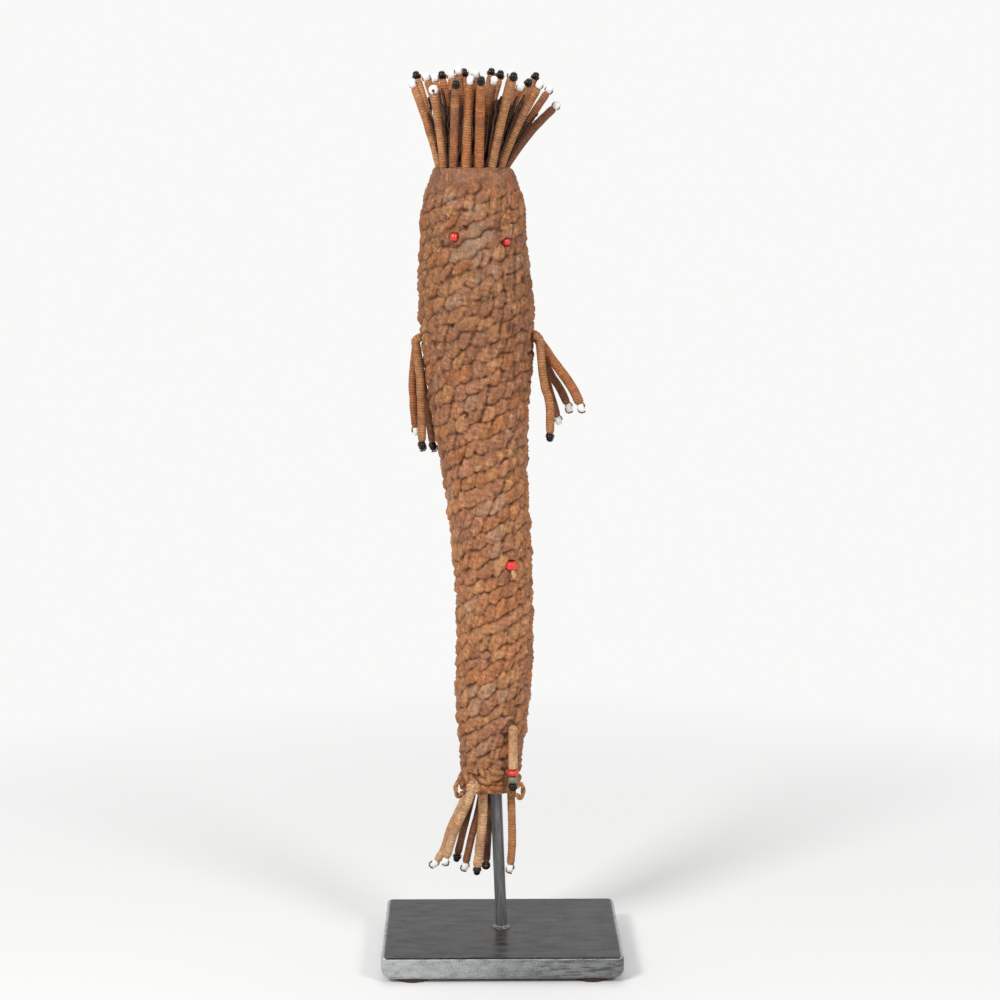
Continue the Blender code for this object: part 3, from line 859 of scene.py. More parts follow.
@dataclass(frozen=True)
class PhotoCamera:
    """The camera that took the photograph, as worked out from the plate's corners."""

    place: Triple = (-11.3 * MM, -909.0 * MM, 331.1 * MM)
    tip_down_deg: float = 8.3
    turn_right_deg: float = 0.67
    focal_pixels: float = 2180.3
    picture_pixels: float = 1000.0
    sensor_mm: float = 36.0
    clip_start: float = 0.01
    clip_end: float = 100.0

    def ray(self, across: float, down: float) -> tuple[Vector, Vector]:
        """The ray through a pixel of the photograph.

        Args:
            across: Pixels from the picture's left edge.
            down: Pixels from its top edge.

        Returns:
            Where the ray starts, and its direction.
        """
        tip = math.radians(self.tip_down_deg)
        turn = math.radians(self.turn_right_deg)
        forward = Vector((
            math.sin(turn) * math.cos(tip), math.cos(turn) * math.cos(tip), -math.sin(tip)
        ))
        right = Vector((math.cos(turn), -math.sin(turn), 0))
        up = right.cross(forward)
        middle = self.picture_pixels / 2
        way = forward * self.focal_pixels + right * (across - middle) - up * (down - middle)
        return Vector(self.place), way.normalized()

    def build(self) -> None:
        """Makes the scene's camera."""
        data = bpy.data.cameras.new("photo_camera")
        data.sensor_width = self.sensor_mm
        data.lens = self.focal_pixels * self.sensor_mm / self.picture_pixels
        data.clip_start = self.clip_start
        data.clip_end = self.clip_end
        camera = bpy.data.objects.new("photo_camera", data)
        camera.location = self.place
        tip = math.radians(90 - self.tip_down_deg)
        camera.rotation_euler = (tip, 0, -math.radians(self.turn_right_deg))
        bpy.context.scene.collection.objects.link(camera)
        bpy.context.scene.camera = camera


CAMERA = PhotoCamera()


class BodyShape:
    """The doll's body as the CAD cover gives it: its middle and radius at each height."""

    def __init__(self, node: str = "knotted_cover", samples: int = 160) -> None:
        """Measures the cover by casting level rays at it from both sides.

        Args:
            node: The cover's CAD node.
            samples: How many heights it is measured at.
        """
        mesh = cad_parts[node].data
        corners = [v.co.copy() for v in mesh.vertices]
        self.tree = BVHTree.FromPolygons(corners, [list(p.vertices) for p in mesh.polygons])
        low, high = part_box(node)
        self.foot, self.top = low.z, high.z
        margin = 0.1 * MM
        self.heights = np.linspace(self.foot + margin, self.top - margin, samples)
        left, right = (self.side_at(side, margin) for side in (-1, 1))
        self.middles = (left + right) / 2
        self.radii = (right - left) / 2

    def side_at(self, side: int, margin: float) -> Array:
        """Finds one side of the body at each height.

        Args:
            side: Minus one for the left side, one for the right.
            margin: How far behind the middle the rays run.

        Returns:
            How far across the body's skin is met.
        """
        far = 1.0
        spots = [Vector((side * far, margin, height)) for height in self.heights]
        return np.array([self.tree.ray_cast(spot, Vector((-side, 0, 0)))[0].x for spot in spots])

    def middle(self, height: Array | float) -> Array:
        """The body's middle across, at this height."""
        return np.interp(height, self.heights, self.middles)

    def radius(self, height: Array | float) -> Array:
        """The body's radius at this height."""
        return np.interp(height, self.heights, self.radii)

    def seen_at(self, across: float, down: float) -> Array:
        """The point on the body's front that a pixel of the photograph shows."""
        return np.array(self.tree.ray_cast(*CAMERA.ray(across, down))[0])

    def turn_of(self, point: Array) -> float:
        """The angle round the body at which a point lies."""
        return math.atan2(point[1], point[0] - float(self.middle(point[2])))

    def outward(self, point: Array) -> Array:
        """The level way out from the body's middle to a point, at length one."""
        return unit(np.array([point[0] - float(self.middle(point[2])), point[1], 0.0]))


def rod_line() -> tuple[Array, Array, float]:
    """Measures the leaning rod.

    Returns:
        The middles of its foot and of its head, and its radius.
    """
    low, high = box_of("support_rod")
    radius = float(high[1] - low[1]) / 2
    foot = np.array([high[0] - radius, 0.0, low[2]])
    head = np.array([low[0] + radius, 0.0, high[2]])
    return foot, head, radius


@dataclass(frozen=True)
class LongHitch:
    """A hitch pulled out along its row, by the pixel of the photograph that it is centred on."""

    across: float
    down: float
    half_length: float
    half_height: float
    swell: float
    rise: float
    fibre: Fibre


@dataclass(frozen=True)
class Marks:
    """Patches and pits of one colour.

    Each has its pixel in the photograph, then its reach and its pit's depth in millimetres.
    """

    fibre: Fibre
    spots: tuple[Span, ...]


COVER_FIBRES = (Fibre.TAN, Fibre.PINK, Fibre.ORANGE, Fibre.GREY, Fibre.BROWN)


class Noise(Enum):
    """The unevenness of the cover: each kind's seed and wavelength."""

    TURN_WANDER = (11, 11 * MM)
    HEIGHT_WANDER = (12, 9 * MM)
    CROWN_LUMPS = (13, 5.5 * MM)
    FUZZ = (14, 1.5 * MM)
    CROWN_EDGE = (15, 16 * MM)
    SHADE = (16, 7 * MM)
    MARK_EDGE = (17, 1.9 * MM)
    BETWEEN = (18, 3.2 * MM)
    LOBES = (19, 2.5 * MM)
    TIGHTNESS = (33, 5 * MM)

    def at(self, points: Array) -> Array:
        """This unevenness at each point."""
        return Ripple(*self.value).at(points)


@dataclass
class Hitches:
    """The hitches of the cover, one entry each."""

    turn: Array
    height: Array
    half_width: Array
    half_height: Array
    swell: Array
    groove: Array
    lean: Array
    rise: Array
    squareness: Array
    tone: Array


@dataclass
class HitchRows:
    """How the hitches lie: rows that climb round the body, each hitch a little unlike the last.

    A spread is the least and the most that a hitch's own size is multiplied by.
    """

    body: BodyShape
    row_pitch: float = 6.3 * MM
    starts: int = 7
    hitch_pitch: float = 6.3 * MM
    pitch_spread: Pair = (0.78, 1.25)
    height_scatter: float = 0.32 * MM
    stagger: float = 0.50 * MM
    width_spread: Pair = (0.92, 1.12)
    tall_spread: Pair = (0.90, 1.12)
    relief: float = 2.1 * MM
    relief_spread: Pair = (0.80, 1.16)
    grooves: Triple = (0.0, 0.0, 0.40 * MM)
    groove_spread: Pair = (0.6, 1.2)
    leans: Pair = (-0.15, 0.50)
    squareness: float = 2.1
    long_squareness: float = 3.4
    long_overlap: float = 1.4 * MM
    grain_apart: float = 3.1 * MM
    tone_spread: Pair = (0.86, 1.14)
    fibre_shares: tuple[float, ...] = (0.34, 0.27, 0.20, 0.08, 0.11)
    seed: int = 7
    long_hitches: tuple[LongHitch, ...] = (
        LongHitch(480, 227, 11.5 * MM, 3.4 * MM, 2.3 * MM, 0.20, Fibre.PINK),
        LongHitch(472, 247, 10.5 * MM, 3.4 * MM, 2.3 * MM, 0.14, Fibre.GREY),
        LongHitch(467, 323, 7.0 * MM, 3.4 * MM, 2.0 * MM, 0.0, Fibre.TAN),
    )

    def climb(self) -> float:
        """How far a row climbs in one radian round the body."""
        return self.starts * self.row_pitch / (2 * math.pi)

    @staticmethod
    def wrap(angle: Array) -> Array:
        """The angle brought to within half a turn of zero."""
        return (angle + math.pi) % (2 * math.pi) - math.pi

    def plain_rows(self) -> list[tuple[float, ...]]:
        """Lays plain hitches along each row, from the body's foot to its crown.

        Returns:
            Each hitch's values, in the order of the Hitches class.
        """
        rng = np.random.default_rng(self.seed)
        fibres = [fibre.value for fibre in COVER_FIBRES]
        rows = []
        length = self.body.top - self.body.foot
        for start in range(self.starts):
            turn = -2 * math.pi * start / self.starts
            while True:
                height = self.body.foot + start * self.row_pitch + self.climb() * turn
                if height > self.body.top + self.row_pitch:
                    break
                up = np.clip((height - self.body.foot) / length, 0, 1)
                pitch = self.hitch_pitch * (1.08 - 0.16 * up)
                pitch = pitch * rng.uniform(*self.pitch_spread)
                radius = float(self.body.radius(height))
                turn += pitch / math.hypot(radius, self.climb())
                tone = np.array(fibres[rng.choice(len(fibres), p=self.fibre_shares)])
                rows.append((
                    turn,
                    height + rng.normal(0, self.height_scatter) + self.stagger * (-1) ** len(rows),
                    0.595 * pitch * rng.uniform(*self.width_spread),
                    0.62 * self.row_pitch * rng.uniform(*self.tall_spread),
                    self.relief * rng.uniform(*self.relief_spread),
                    rng.choice(self.grooves) * rng.uniform(*self.groove_spread),
                    rng.uniform(*self.leans),
                    0.0,
                    self.squareness,
                    *(tone * rng.uniform(*self.tone_spread)),
                ))
        return rows

    def lay(self) -> Hitches:
        """Lays every hitch.

        Returns:
            The hitches, with the long ones in place of those that they cover.
        """
        rows = self.plain_rows()
        for long in self.long_hitches:
            spot = self.body.seen_at(long.across, long.down)
            turn = self.body.turn_of(spot)
            radius = float(self.body.radius(spot[2]))
            slope = self.climb() / radius + long.rise
            kept = []
            for row in rows:
                along = self.wrap(row[0] - turn) * radius
                aside = row[1] - spot[2] - slope * along
                past_end = abs(along) > long.half_length - self.long_overlap
                if past_end or abs(aside) > 0.45 * self.row_pitch:
                    kept.append(row)
            size = (long.half_length, long.half_height, long.swell)
            shape = (0, 0, long.rise, self.long_squareness)
            rows = kept + [(turn, spot[2], *size, *shape, *long.fibre.value)]
        table = np.array(rows)
        last = len(fields(Hitches)) - 1
        return Hitches(*(table[:, i] for i in range(last)), table[:, last:])


@dataclass
class HitchedCover:
    """The doll's skin: rows of hitches that climb round the body, smoothed over at the crown."""

    body: BodyShape
    merge: float = 0.20 * MM
    proud: float = 0.25 * MM
    fall: float = 1.2 * MM
    tilt: float = 0.22 * MM
    groove_width: float = 0.34 * MM
    near: float = 1.5 * MM
    seam_steps: Pair = (0.35, 0.8)
    turn_wander: float = 0.7 * MM
    height_wander: float = 0.8 * MM
    least_girth: float = 4 * MM
    between_lumps: float = 0.25 * MM
    crease_depth: float = 0.42 * MM
    crease_reach: float = 0.52 * MM
    # Painted shade: how strongly the creases pull the depth attribute down, for the finish to darken.
    crease_shade: float = 0.44
    crease_least: float = 0.36
    tightness: Pair = (0.45, 0.9)
    tightest: float = 1.2
    # The cavity reach and depth and the open depth set the depth attribute that the finish darkens in
    # hollows and lightens on tops.
    cavity_reach: float = 1.5 * MM
    cavity_depth: float = 1.25 * MM
    open_depth: float = 0.74
    lobe_height: float = 0.42 * MM
    fuzz_height: float = 0.11 * MM
    shades: Pair = (0.88, 0.24)
    # Brightness of the cover up the body, from its foot to its crown.
    height_places: tuple[float, ...] = (0.0, 0.14, 0.38, 0.60, 0.76, 0.93, 1.0)
    height_shades: tuple[float, ...] = (0.78, 0.94, 1.03, 0.91, 0.76, 0.79, 0.87)
    grid_step: float = 0.42 * MM
    fine_step: float = 0.1 * MM
    columns: int = 384
    mouth_radius: float = 3.4 * MM
    mouth_lift: float = 0.6 * MM
    crown_middle: float = 0.4 * MM
    rim_round: float = 1.6 * MM
    crown_smooth: float = 7.6 * MM
    crown_blend: float = 2.5 * MM
    crown_ragged: float = 2.2 * MM
    crown_sunk: float = 0.55 * MM
    crown_lumps: float = 0.32 * MM
    crown_fuzz: float = 0.08 * MM
    crown_shades: Pair = (0.86, 0.14)
    crown_level: float = 0.5
    cloud_share: float = 0.5
    wide_clouds: Triple = (20, 12 * MM, 1.3)
    fine_clouds: Triple = (25, 3.4 * MM, 1.9)
    cloud_starts: tuple[float, ...] = (1.0, 0.7, 0.6, -0.6, 0.1)
    mark_ragged: float = 0.8 * MM
    mark_shares: Pair = (0.45, 1.25)
    # The pit depth at which a pit's painted shade is full.
    dark_pit: float = 0.9 * MM
    sunk_beads: tuple[str, ...] = ("eye_bead_left", "eye_bead_right", "navel_bead")
    bead_hollow: float = 1.6 * MM
    bead_hollow_shares: Pair = (0.90, 1.20)
    # Painted shade in the hollow under each sunk bead.
    bead_shade: float = 0.7
    lip_height: float = 0.40 * MM
    bands: tuple[str, ...] = ("foot", "waist", "chest", "head")
    grey: Marks = Marks(
        Fibre.GREY,
        (
            *((491, 258, 2.2, 0.0), (494, 271, 2.6, 0.0), (478, 280, 2.6, 0.0), (477, 230, 3.6, 0.0)),
            *((474, 247, 4.2, 0.0), (473, 208, 3.0, 0.0), (450, 200, 3.0, 0.0)),
        ),
    )
    rust: Marks = Marks(Fibre.RUST, ((511, 179, 2.4, 0.0), (519, 190, 2.4, 0.0)))
    brown: Marks = Marks(Fibre.BROWN, ((511, 328, 2.6, 0.5), (524, 280, 2.6, 0.4)))
    # Dark marks: painted shade, a dark tint put in pits between the hitches.
    dark: Marks = Marks(
        Fibre.DARK,
        (
            *((432, 230, 1.1, 0.5), (442, 243, 0.9, 0.4), (465, 227, 0.9, 0.7), (446, 218, 0.8, 0.5)),
            *((452, 325, 1.1, 0.9), (433, 343, 1.1, 0.5), (467, 417, 0.8, 0.6), (488, 661, 0.9, 0.5)),
            *((503, 760, 1.3, 0.9), (506, 735, 1.2, 0.7)),
        ),
    )

    def __post_init__(self) -> None:
        """Lays the hitches, and the smooth skin that they stand on."""
        self.rows = HitchRows(self.body)
        self.hitches = self.rows.lay()
        self.radius, self.height, middle = self.outline()
        self.base = level_circle(self.columns) * self.radius[:, None, None]
        self.base[..., 0] += middle[:, None]
        self.base[..., 2] += self.height[:, None]

    def outline(self) -> tuple[Array, Array, Array]:
        """The cover's outline from the rod's hole, out and up the body, to the crown's middle.

        Returns:
            At each step, the radius, the height and the middle across.
        """
        foot, top = self.body.foot, self.body.top
        rim = float(self.body.radius(foot))
        crown = float(self.body.radius(top))
        under = [(self.mouth_radius, foot + self.mouth_lift), (rim, foot)]
        heights = np.linspace(foot, top, 200)
        side = [(float(self.body.radius(z)), z) for z in heights]
        over = [(crown, top), (self.crown_middle, top)]
        fine = resampled(np.array(under + side + over), self.fine_step)
        width = int(self.rim_round / self.fine_step)
        padded = np.pad(fine, ((width, width), (0, 0)), mode="edge")
        kernel = np.ones(2 * width + 1) / (2 * width + 1)
        soft = np.stack([np.convolve(padded[:, k], kernel, "valid") for k in range(2)], 1)
        soft[0], soft[-1] = fine[0], fine[-1]
        radius, height = resampled(soft, self.grid_step).T
        rod_foot, rod_head, _ = rod_line()
        weld_middle, _ = middle_of("rod_weld")
        rise = (foot - rod_foot[2]) / (rod_head[2] - rod_foot[2])
        rod_x = weld_middle[0] - (rod_foot[0] - rod_head[0]) * rise
        by_rod = 1 - ease(radius, self.mouth_radius, rim)
        by_rod = np.where(height < foot + self.rim_round, by_rod, 0)
        return radius, height, self.body.middle(height) * (1 - by_rod) + rod_x * by_rod

    def relief_at(self, turns: Array, heights: Array, radius: float) -> tuple[Array, ...]:
        """The relief round the body at one step of the outline.

        Args:
            turns: The angle of each point, already warped.
            heights: The height of each point, already warped.
            radius: The body's radius there.

        Returns:
            At each point, the height over the base, how far the nearest seam is one between two
            rows, how much its hitch stands over the next one, how lumpy it is, the tone, and the
            place on its hitch.
        """
        hitches, rows = self.hitches, self.rows
        slope = rows.climb() / radius
        reach = hitches.half_height + slope * hitches.half_width + self.near
        near = np.flatnonzero(np.abs(hitches.height - float(heights.mean())) < reach)
        along = rows.wrap(turns[:, None] - hitches.turn[near]) * radius
        aside = heights[:, None] - hitches.height[near] - (slope + hitches.rise[near]) * along
        tall = hitches.half_height[near]
        square = hitches.squareness[near]
        across = along - hitches.lean[near] * aside
        away = np.abs(across / hitches.half_width[near]) ** square
        away = (away + np.abs(aside / tall) ** rows.squareness) ** (1 / rows.squareness)
        dome = hitches.swell[near] * np.sqrt(np.clip(1 - away**2, 0, None))
        dome = dome - np.clip(away - 1, 0, 2) * self.fall
        dome = dome - self.tilt * np.clip(aside / tall, -1, 1) * (away < 1)
        groove = hitches.groove[near] * np.exp(-((across / self.groove_width) ** 2))
        dome = dome - groove * np.clip(1 - away**2, 0, 1)
        best = dome.argmax(1)
        second = np.argpartition(dome, -2, axis=1)[:, -2]
        each = np.arange(len(turns))
        chosen = near[best]
        lead = dome[each, best] - dome[each, second]
        top = dome[each, best] + self.merge * np.log1p(np.exp(-lead / self.merge))
        step = np.abs(aside[each, best] - aside[each, second]) / rows.row_pitch
        lumpy = np.where(square[best] == rows.long_squareness, 0.3, 1.0)
        grain = np.stack([across[each, best], aside[each, best], chosen * rows.grain_apart], 1)
        return top, ease(step, *self.seam_steps), lead, lumpy, hitches.tone[chosen], grain

    def hitched(self) -> tuple[Array, ...]:
        """Stands the hitches on the smooth skin and pulls the seams between them in.

        Returns:
            At each point, how far it stands out, how deep in a crease it is, the tone, and the
            place on its hitch.
        """
        base = self.base
        relief, seam, lead, lumpy = (np.zeros(base.shape[:2]) for _ in range(4))
        tone, grain = np.zeros(base.shape), np.zeros(base.shape)
        girths = np.maximum(self.radius, self.least_girth)[:, None]
        turns = even_angles(self.columns) + Noise.TURN_WANDER.at(base) * self.turn_wander / girths
        heights = base[..., 2] + Noise.HEIGHT_WANDER.at(base) * self.height_wander
        for i, wide in enumerate(self.body.radius(self.height)):
            found = self.relief_at(turns[i], heights[i], float(wide))
            relief[i], seam[i], lead[i], lumpy[i], tone[i], grain[i] = found
        swell = self.rows.relief
        between = 0.30 * swell + self.between_lumps * Noise.BETWEEN.at(base)
        relief = np.maximum(relief, between) - swell + self.proud
        relief = relief + self.lobe_height * lumpy * Noise.LOBES.at(base)
        middle, swing = self.tightness
        tight = np.clip(middle + swing * Noise.TIGHTNESS.at(base), 0, self.tightest)
        tight = tight * (self.crease_least + (1 - self.crease_least) * seam)
        crease = np.exp(-((lead / self.crease_reach) ** 2)) * tight
        return relief - self.crease_depth * crease, crease, tone, grain

    def smeared(self) -> Array:
        """Finds where the hitches are smoothed over.

        Returns:
            Zero for a plain hitch and one for the smooth crown.
        """
        edge = self.body.top - self.crown_smooth
        ragged = self.height[:, None] + self.crown_ragged * Noise.CROWN_EDGE.at(self.base)
        level = np.abs(np.gradient(self.height)) < self.crown_level * np.abs(np.gradient(self.radius))
        return np.where(level[:, None], 1.0, ease(ragged, edge - self.crown_blend, edge))

    def coloured(self, tone: Array, smeared: Array) -> Array:
        """Clouds the fibre's colour, evens it out at the crown and shades it up the body.

        Args:
            tone: Each hitch's own colour.
            smeared: How far each point is smoothed over.

        Returns:
            The colour at each point.
        """
        plain, swing = self.crown_shades
        crown = plain + swing * Noise.CROWN_LUMPS.at(self.base)
        crown = np.array(Fibre.PINK.value) * crown[..., None]
        tone = (1 - self.cloud_share) * tone + self.cloud_share * self.clouds()
        tinted = 0.7 * smeared[..., None]
        return tone * (1 - tinted) + crown * tinted

    def height_shade(self) -> Array:
        """How light each point is left by its height up the body and by the soft blotches.

        Returns:
            Each point's shade.
        """
        share_up = (self.height - self.body.foot) / (self.body.top - self.body.foot)
        least, more = self.shades
        blotched = least + more * (0.5 + 0.5 * Noise.SHADE.at(self.base))
        brightness = np.interp(share_up, self.height_places, self.height_shades)
        return (blotched * brightness[:, None])[..., None]

    def build(self) -> None:
        """Builds the cover in bands and ties them to the doll."""
        base, smeared, fuzz = self.base, self.smeared(), Noise.FUZZ.at(self.base)
        relief, crease, tone, grain = self.hitched()
        crown = self.crown_lumps * Noise.CROWN_LUMPS.at(base) + self.crown_fuzz * fuzz - self.crown_sunk
        relief = relief * (1 - smeared) + crown * smeared + self.fuzz_height * fuzz
        grain = np.where(smeared[..., None] > 0.5, base * [1.0, HITCHED.streak_length, 1.0], grain)
        # Painted light: the depth attribute falls in cavities and creases and rises on raised tops; the
        # finish paints shade and highlight by it.
        shaded = self.cavity(relief) / self.cavity_depth - self.crease_shade * crease * (1 - smeared)
        share = np.clip(self.open_depth + shaded, 0, 1)
        relief, share, tone = self.mark(relief, share, self.coloured(tone, smeared))
        relief, share = self.sink_beads(relief, share)
        tone = tone * self.height_shade()
        around = np.roll(base, -1, 1) - np.roll(base, 1, 1)
        points = base + unit(np.cross(around, np.gradient(base, axis=0))) * relief[..., None]
        cuts = np.linspace(0, len(points) - 1, len(self.bands) + 1).astype(int)
        for name, start, end in zip(self.bands, cuts[:-1], cuts[1:]):
            part = slice(start, end + 1)
            skin = Skin(points[part], tone[part], share[part], grain[part], capped=False)
            piece = make_piece(f"cover_{name}", [skin], HITCHED, "doll", ["knotted_cover"])

    def cavity(self, relief: Array) -> Array:
        """Compares each point with the cover round it.

        Args:
            relief: How far each point stands out.

        Returns:
            How far it stands over the middle height of its surroundings.
        """
        reach = int(round(self.cavity_reach / self.grid_step))
        steps = range(-reach, reach + 1)
        wide = sum(np.roll(relief, step, 1) for step in steps) / len(steps)
        padded = np.pad(wide, ((reach, reach), (0, 0)), mode="edge")
        tall = sum(padded[step : step + len(relief)] for step in range(len(steps)))
        return relief - tall / len(steps)

    def clouds(self) -> Array:
        """The fibre's colour, drifting over the body in soft clouds.

        Returns:
            The colour at each point.
        """
        total, weight = np.zeros(self.base.shape), np.zeros(self.base.shape[:2])
        for number, (fibre, drift) in enumerate(zip(COVER_FIBRES, self.cloud_starts)):
            for seed, wavelength, swing in (self.wide_clouds, self.fine_clouds):
                drift = drift + swing * Ripple(seed + number, wavelength).at(self.base)
            share = np.exp(drift)
            total += np.array(fibre.value) * share[..., None]
            weight += share
        return total / weight[..., None]

    def mark(self, relief: Array, share: Array, tone: Array) -> tuple[Array, ...]:
        """Adds the patches and pits that the photograph shows.

        Args:
            relief: How far each point stands out.
            share: How open to the light it is.
            tone: Its colour.

        Returns:
            The relief, the share and the tone with the marks in them.
        """
        ragged = self.mark_ragged * Noise.MARK_EDGE.at(self.base)
        for marks in (self.grey, self.rust, self.brown, self.dark):
            for across, down, reach, pit in marks.spots:
                centre = self.body.seen_at(across, down)
                apart = np.linalg.norm(self.base - centre, axis=-1) + ragged
                inner, outer = (part * reach * MM for part in self.mark_shares)
                here = 1 - ease(apart, inner, outer)
                tint = np.array(marks.fibre.value)
                tone = tone + (tint - tone) * (0.75 * here)[..., None]
                relief = relief - pit * MM * here
                # Painted shade in each pit: the depth attribute falls with the pit's depth.
                share = share * (1 - here * min(pit * MM / self.dark_pit, 1))
        return relief, share, tone

    def sink_beads(self, relief: Array, share: Array) -> tuple[Array, ...]:
        """Hollows the cover under each bead that is sunk in it, with a lip round it.

        Args:
            relief: How far each point stands out.
            share: How open to the light it is.

        Returns:
            The relief and the share with the hollows in them.
        """
        for node in self.sunk_beads:
            middle, half = middle_of(node)
            apart = np.linalg.norm(self.base - middle, axis=-1) / half[2]
            hollow = 1 - ease(apart, *self.bead_hollow_shares)
            lip = np.exp(-(((apart - 1.35) / 0.45) ** 2))
            relief = relief * (1 - hollow) - self.bead_hollow * hollow
            relief = relief + self.lip_height * lip * (1 - hollow)
            # Painted shade in the hollow round the bead.
            share = share * (1 - self.bead_shade * hollow)
        return relief, share


@dataclass
class RodBore:
    """The husk stuffing round the rod, seen only from below when the doll is lifted."""

    radius: float = 2.95 * MM
    steps: int = 60
    sides: int = 24
    foot_gap: float = 0.7 * MM
    head_gap: float = 0.6 * MM
    roughness: float = 0.12 * MM
    husk_lumps: float = 3.0 * MM

    def build(self) -> None:
        """Lines the way in for the rod with husk."""
        foot, head, _ = rod_line()
        cover_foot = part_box("knotted_cover")[0].z
        heights = np.linspace(cover_foot + self.foot_gap, head[2] + self.head_gap, self.steps)
        shares = ((heights - foot[2]) / (head[2] - foot[2]))[:, None]
        middles = foot + (head - foot) * shares
        ring = level_circle(self.sides) * self.radius
        points = middles[:, None] + ring
        inward = unit(points.mean(1, keepdims=True) - points)
        lumps = Ripple(31, self.husk_lumps).at(points)
        points = points - inward * (self.roughness * lumps)[..., None]
        skin = Skin(points[:, ::-1], np.array(Fibre.BROWN.value), capped=False)
        piece = make_piece("husk_lining", [skin], HUSK, "doll", ["husk_core"])


@dataclass(frozen=True)
class Spine:
    """The measured line of a wrapped strand, from its root to its end, and the bead beyond."""

    line: Array
    radius: float
    bead: Array
    way: Array

    BEAD_BEYOND = 2.4 * MM
    END_BEYOND = 5.0 * MM
    TIP_CUTS = (0.4 * MM, 4.1 * MM)
    ROOT_CUT = 0.3 * MM
    CUTS = 14
    PLAIN_CUTS = slice(4, 10)

    @classmethod
    def measure(cls, node: str, hangs: bool) -> "Spine":
        """Measures a strand's CAD node by cutting it across in many places.

        Args:
            node: The strand's node.
            hangs: Whether its root is its upper end.

        Returns:
            The measured line.
        """
        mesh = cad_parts[node].data
        corners = np.array([v.co for v in mesh.vertices])
        edges = np.array([e.vertices for e in mesh.edges])
        axis = np.linalg.svd(corners - corners.mean(0), full_matrices=False)[2][0]
        if (axis[2] > 0) == hangs:
            axis = -axis
        reach = corners @ axis

        def section(place: float) -> Array:
            """Cuts the strand across.

            Args:
                place: How far along the axis the cut is.

            Returns:
                The points where the strand's edges cross the cut.
            """
            a, b = reach[edges[:, 0]] - place, reach[edges[:, 1]] - place
            crossing = (a * b) < 0
            share = (a[crossing] / (a[crossing] - b[crossing]))[:, None]
            first, second = corners[edges[crossing, 0]], corners[edges[crossing, 1]]
            return first + (second - first) * share

        tip = reach.max()
        near, far = (section(tip - back).mean(0) for back in cls.TIP_CUTS)
        way = unit(near - far)
        tilt = float(way @ axis)
        places = np.linspace(reach.min() + cls.ROOT_CUT, tip - cls.END_BEYOND * tilt, cls.CUTS)
        cuts = [section(place) for place in places]
        line = np.array([cut.mean(0) for cut in cuts])
        along = unit(np.gradient(line, axis=0))
        radii = []
        for cut, centre, direction in list(zip(cuts, line, along))[cls.PLAIN_CUTS]:
            arms = cut - centre
            arms = arms - np.outer(arms @ direction, direction)
            radii.append(np.linalg.norm(arms, axis=1).max())
        bead = section(tip - cls.BEAD_BEYOND * tilt).mean(0)
        return cls(line, float(np.median(radii)), bead, way)


def cord_skin(
    line: Array, radius: float, sides: int, lay: float, fibre: Fibre, seed: int, shade: float = 1.0
) -> Skin:
    """A cord laid up from two twisted plies.

    Args:
        line: The points that it follows.
        radius: The cord's radius over both plies.
        sides: How many points go round it.
        lay: The length of one full twist.
        fibre: Its fibre.
        seed: Fixes its unevenness.
        shade: How light it is beside its fibre's own colour.

    Returns:
        The cord's skin, rounded at both ends.
    """
    ply, offset = 0.68 * radius, 0.32 * radius
    tip_width = 0.35
    swell, swell_length = 0.07, 4 * radius
    tint, tint_length = 0.12, 3 * MM
    seam, seam_to_top = 0.50, 0.42
    along = distance_along(line)
    twist = even_angles(sides) - 2 * math.pi * along[:, None] / lay
    reach = offset * np.abs(np.cos(twist)) + np.sqrt(ply**2 - (offset * np.sin(twist)) ** 2)
    ends = quarter_round(np.minimum(along, along[-1] - along) / radius)
    reach = reach * (tip_width + (1 - tip_width) * ends)[:, None]
    reach = reach * (1 + swell * Ripple(seed + 60, swell_length).at(line))[:, None]
    points = rings_round(line, even_angles(sides), reach)
    # Painted shade: the depth attribute falls in the seam between the two plies, for the finish to darken.
    depth = np.clip((reach / radius - seam) / seam_to_top, 0, 1)
    grain = np.stack(np.broadcast_arrays(twist * radius, along[:, None], seed * MM), -1)
    shades = shade * (1 + tint * Ripple(seed + 61, tint_length).at(line))
    tones = np.array(fibre.value) * shades[:, None, None]
    return Skin(points, np.broadcast_to(tones, points.shape), depth, grain)


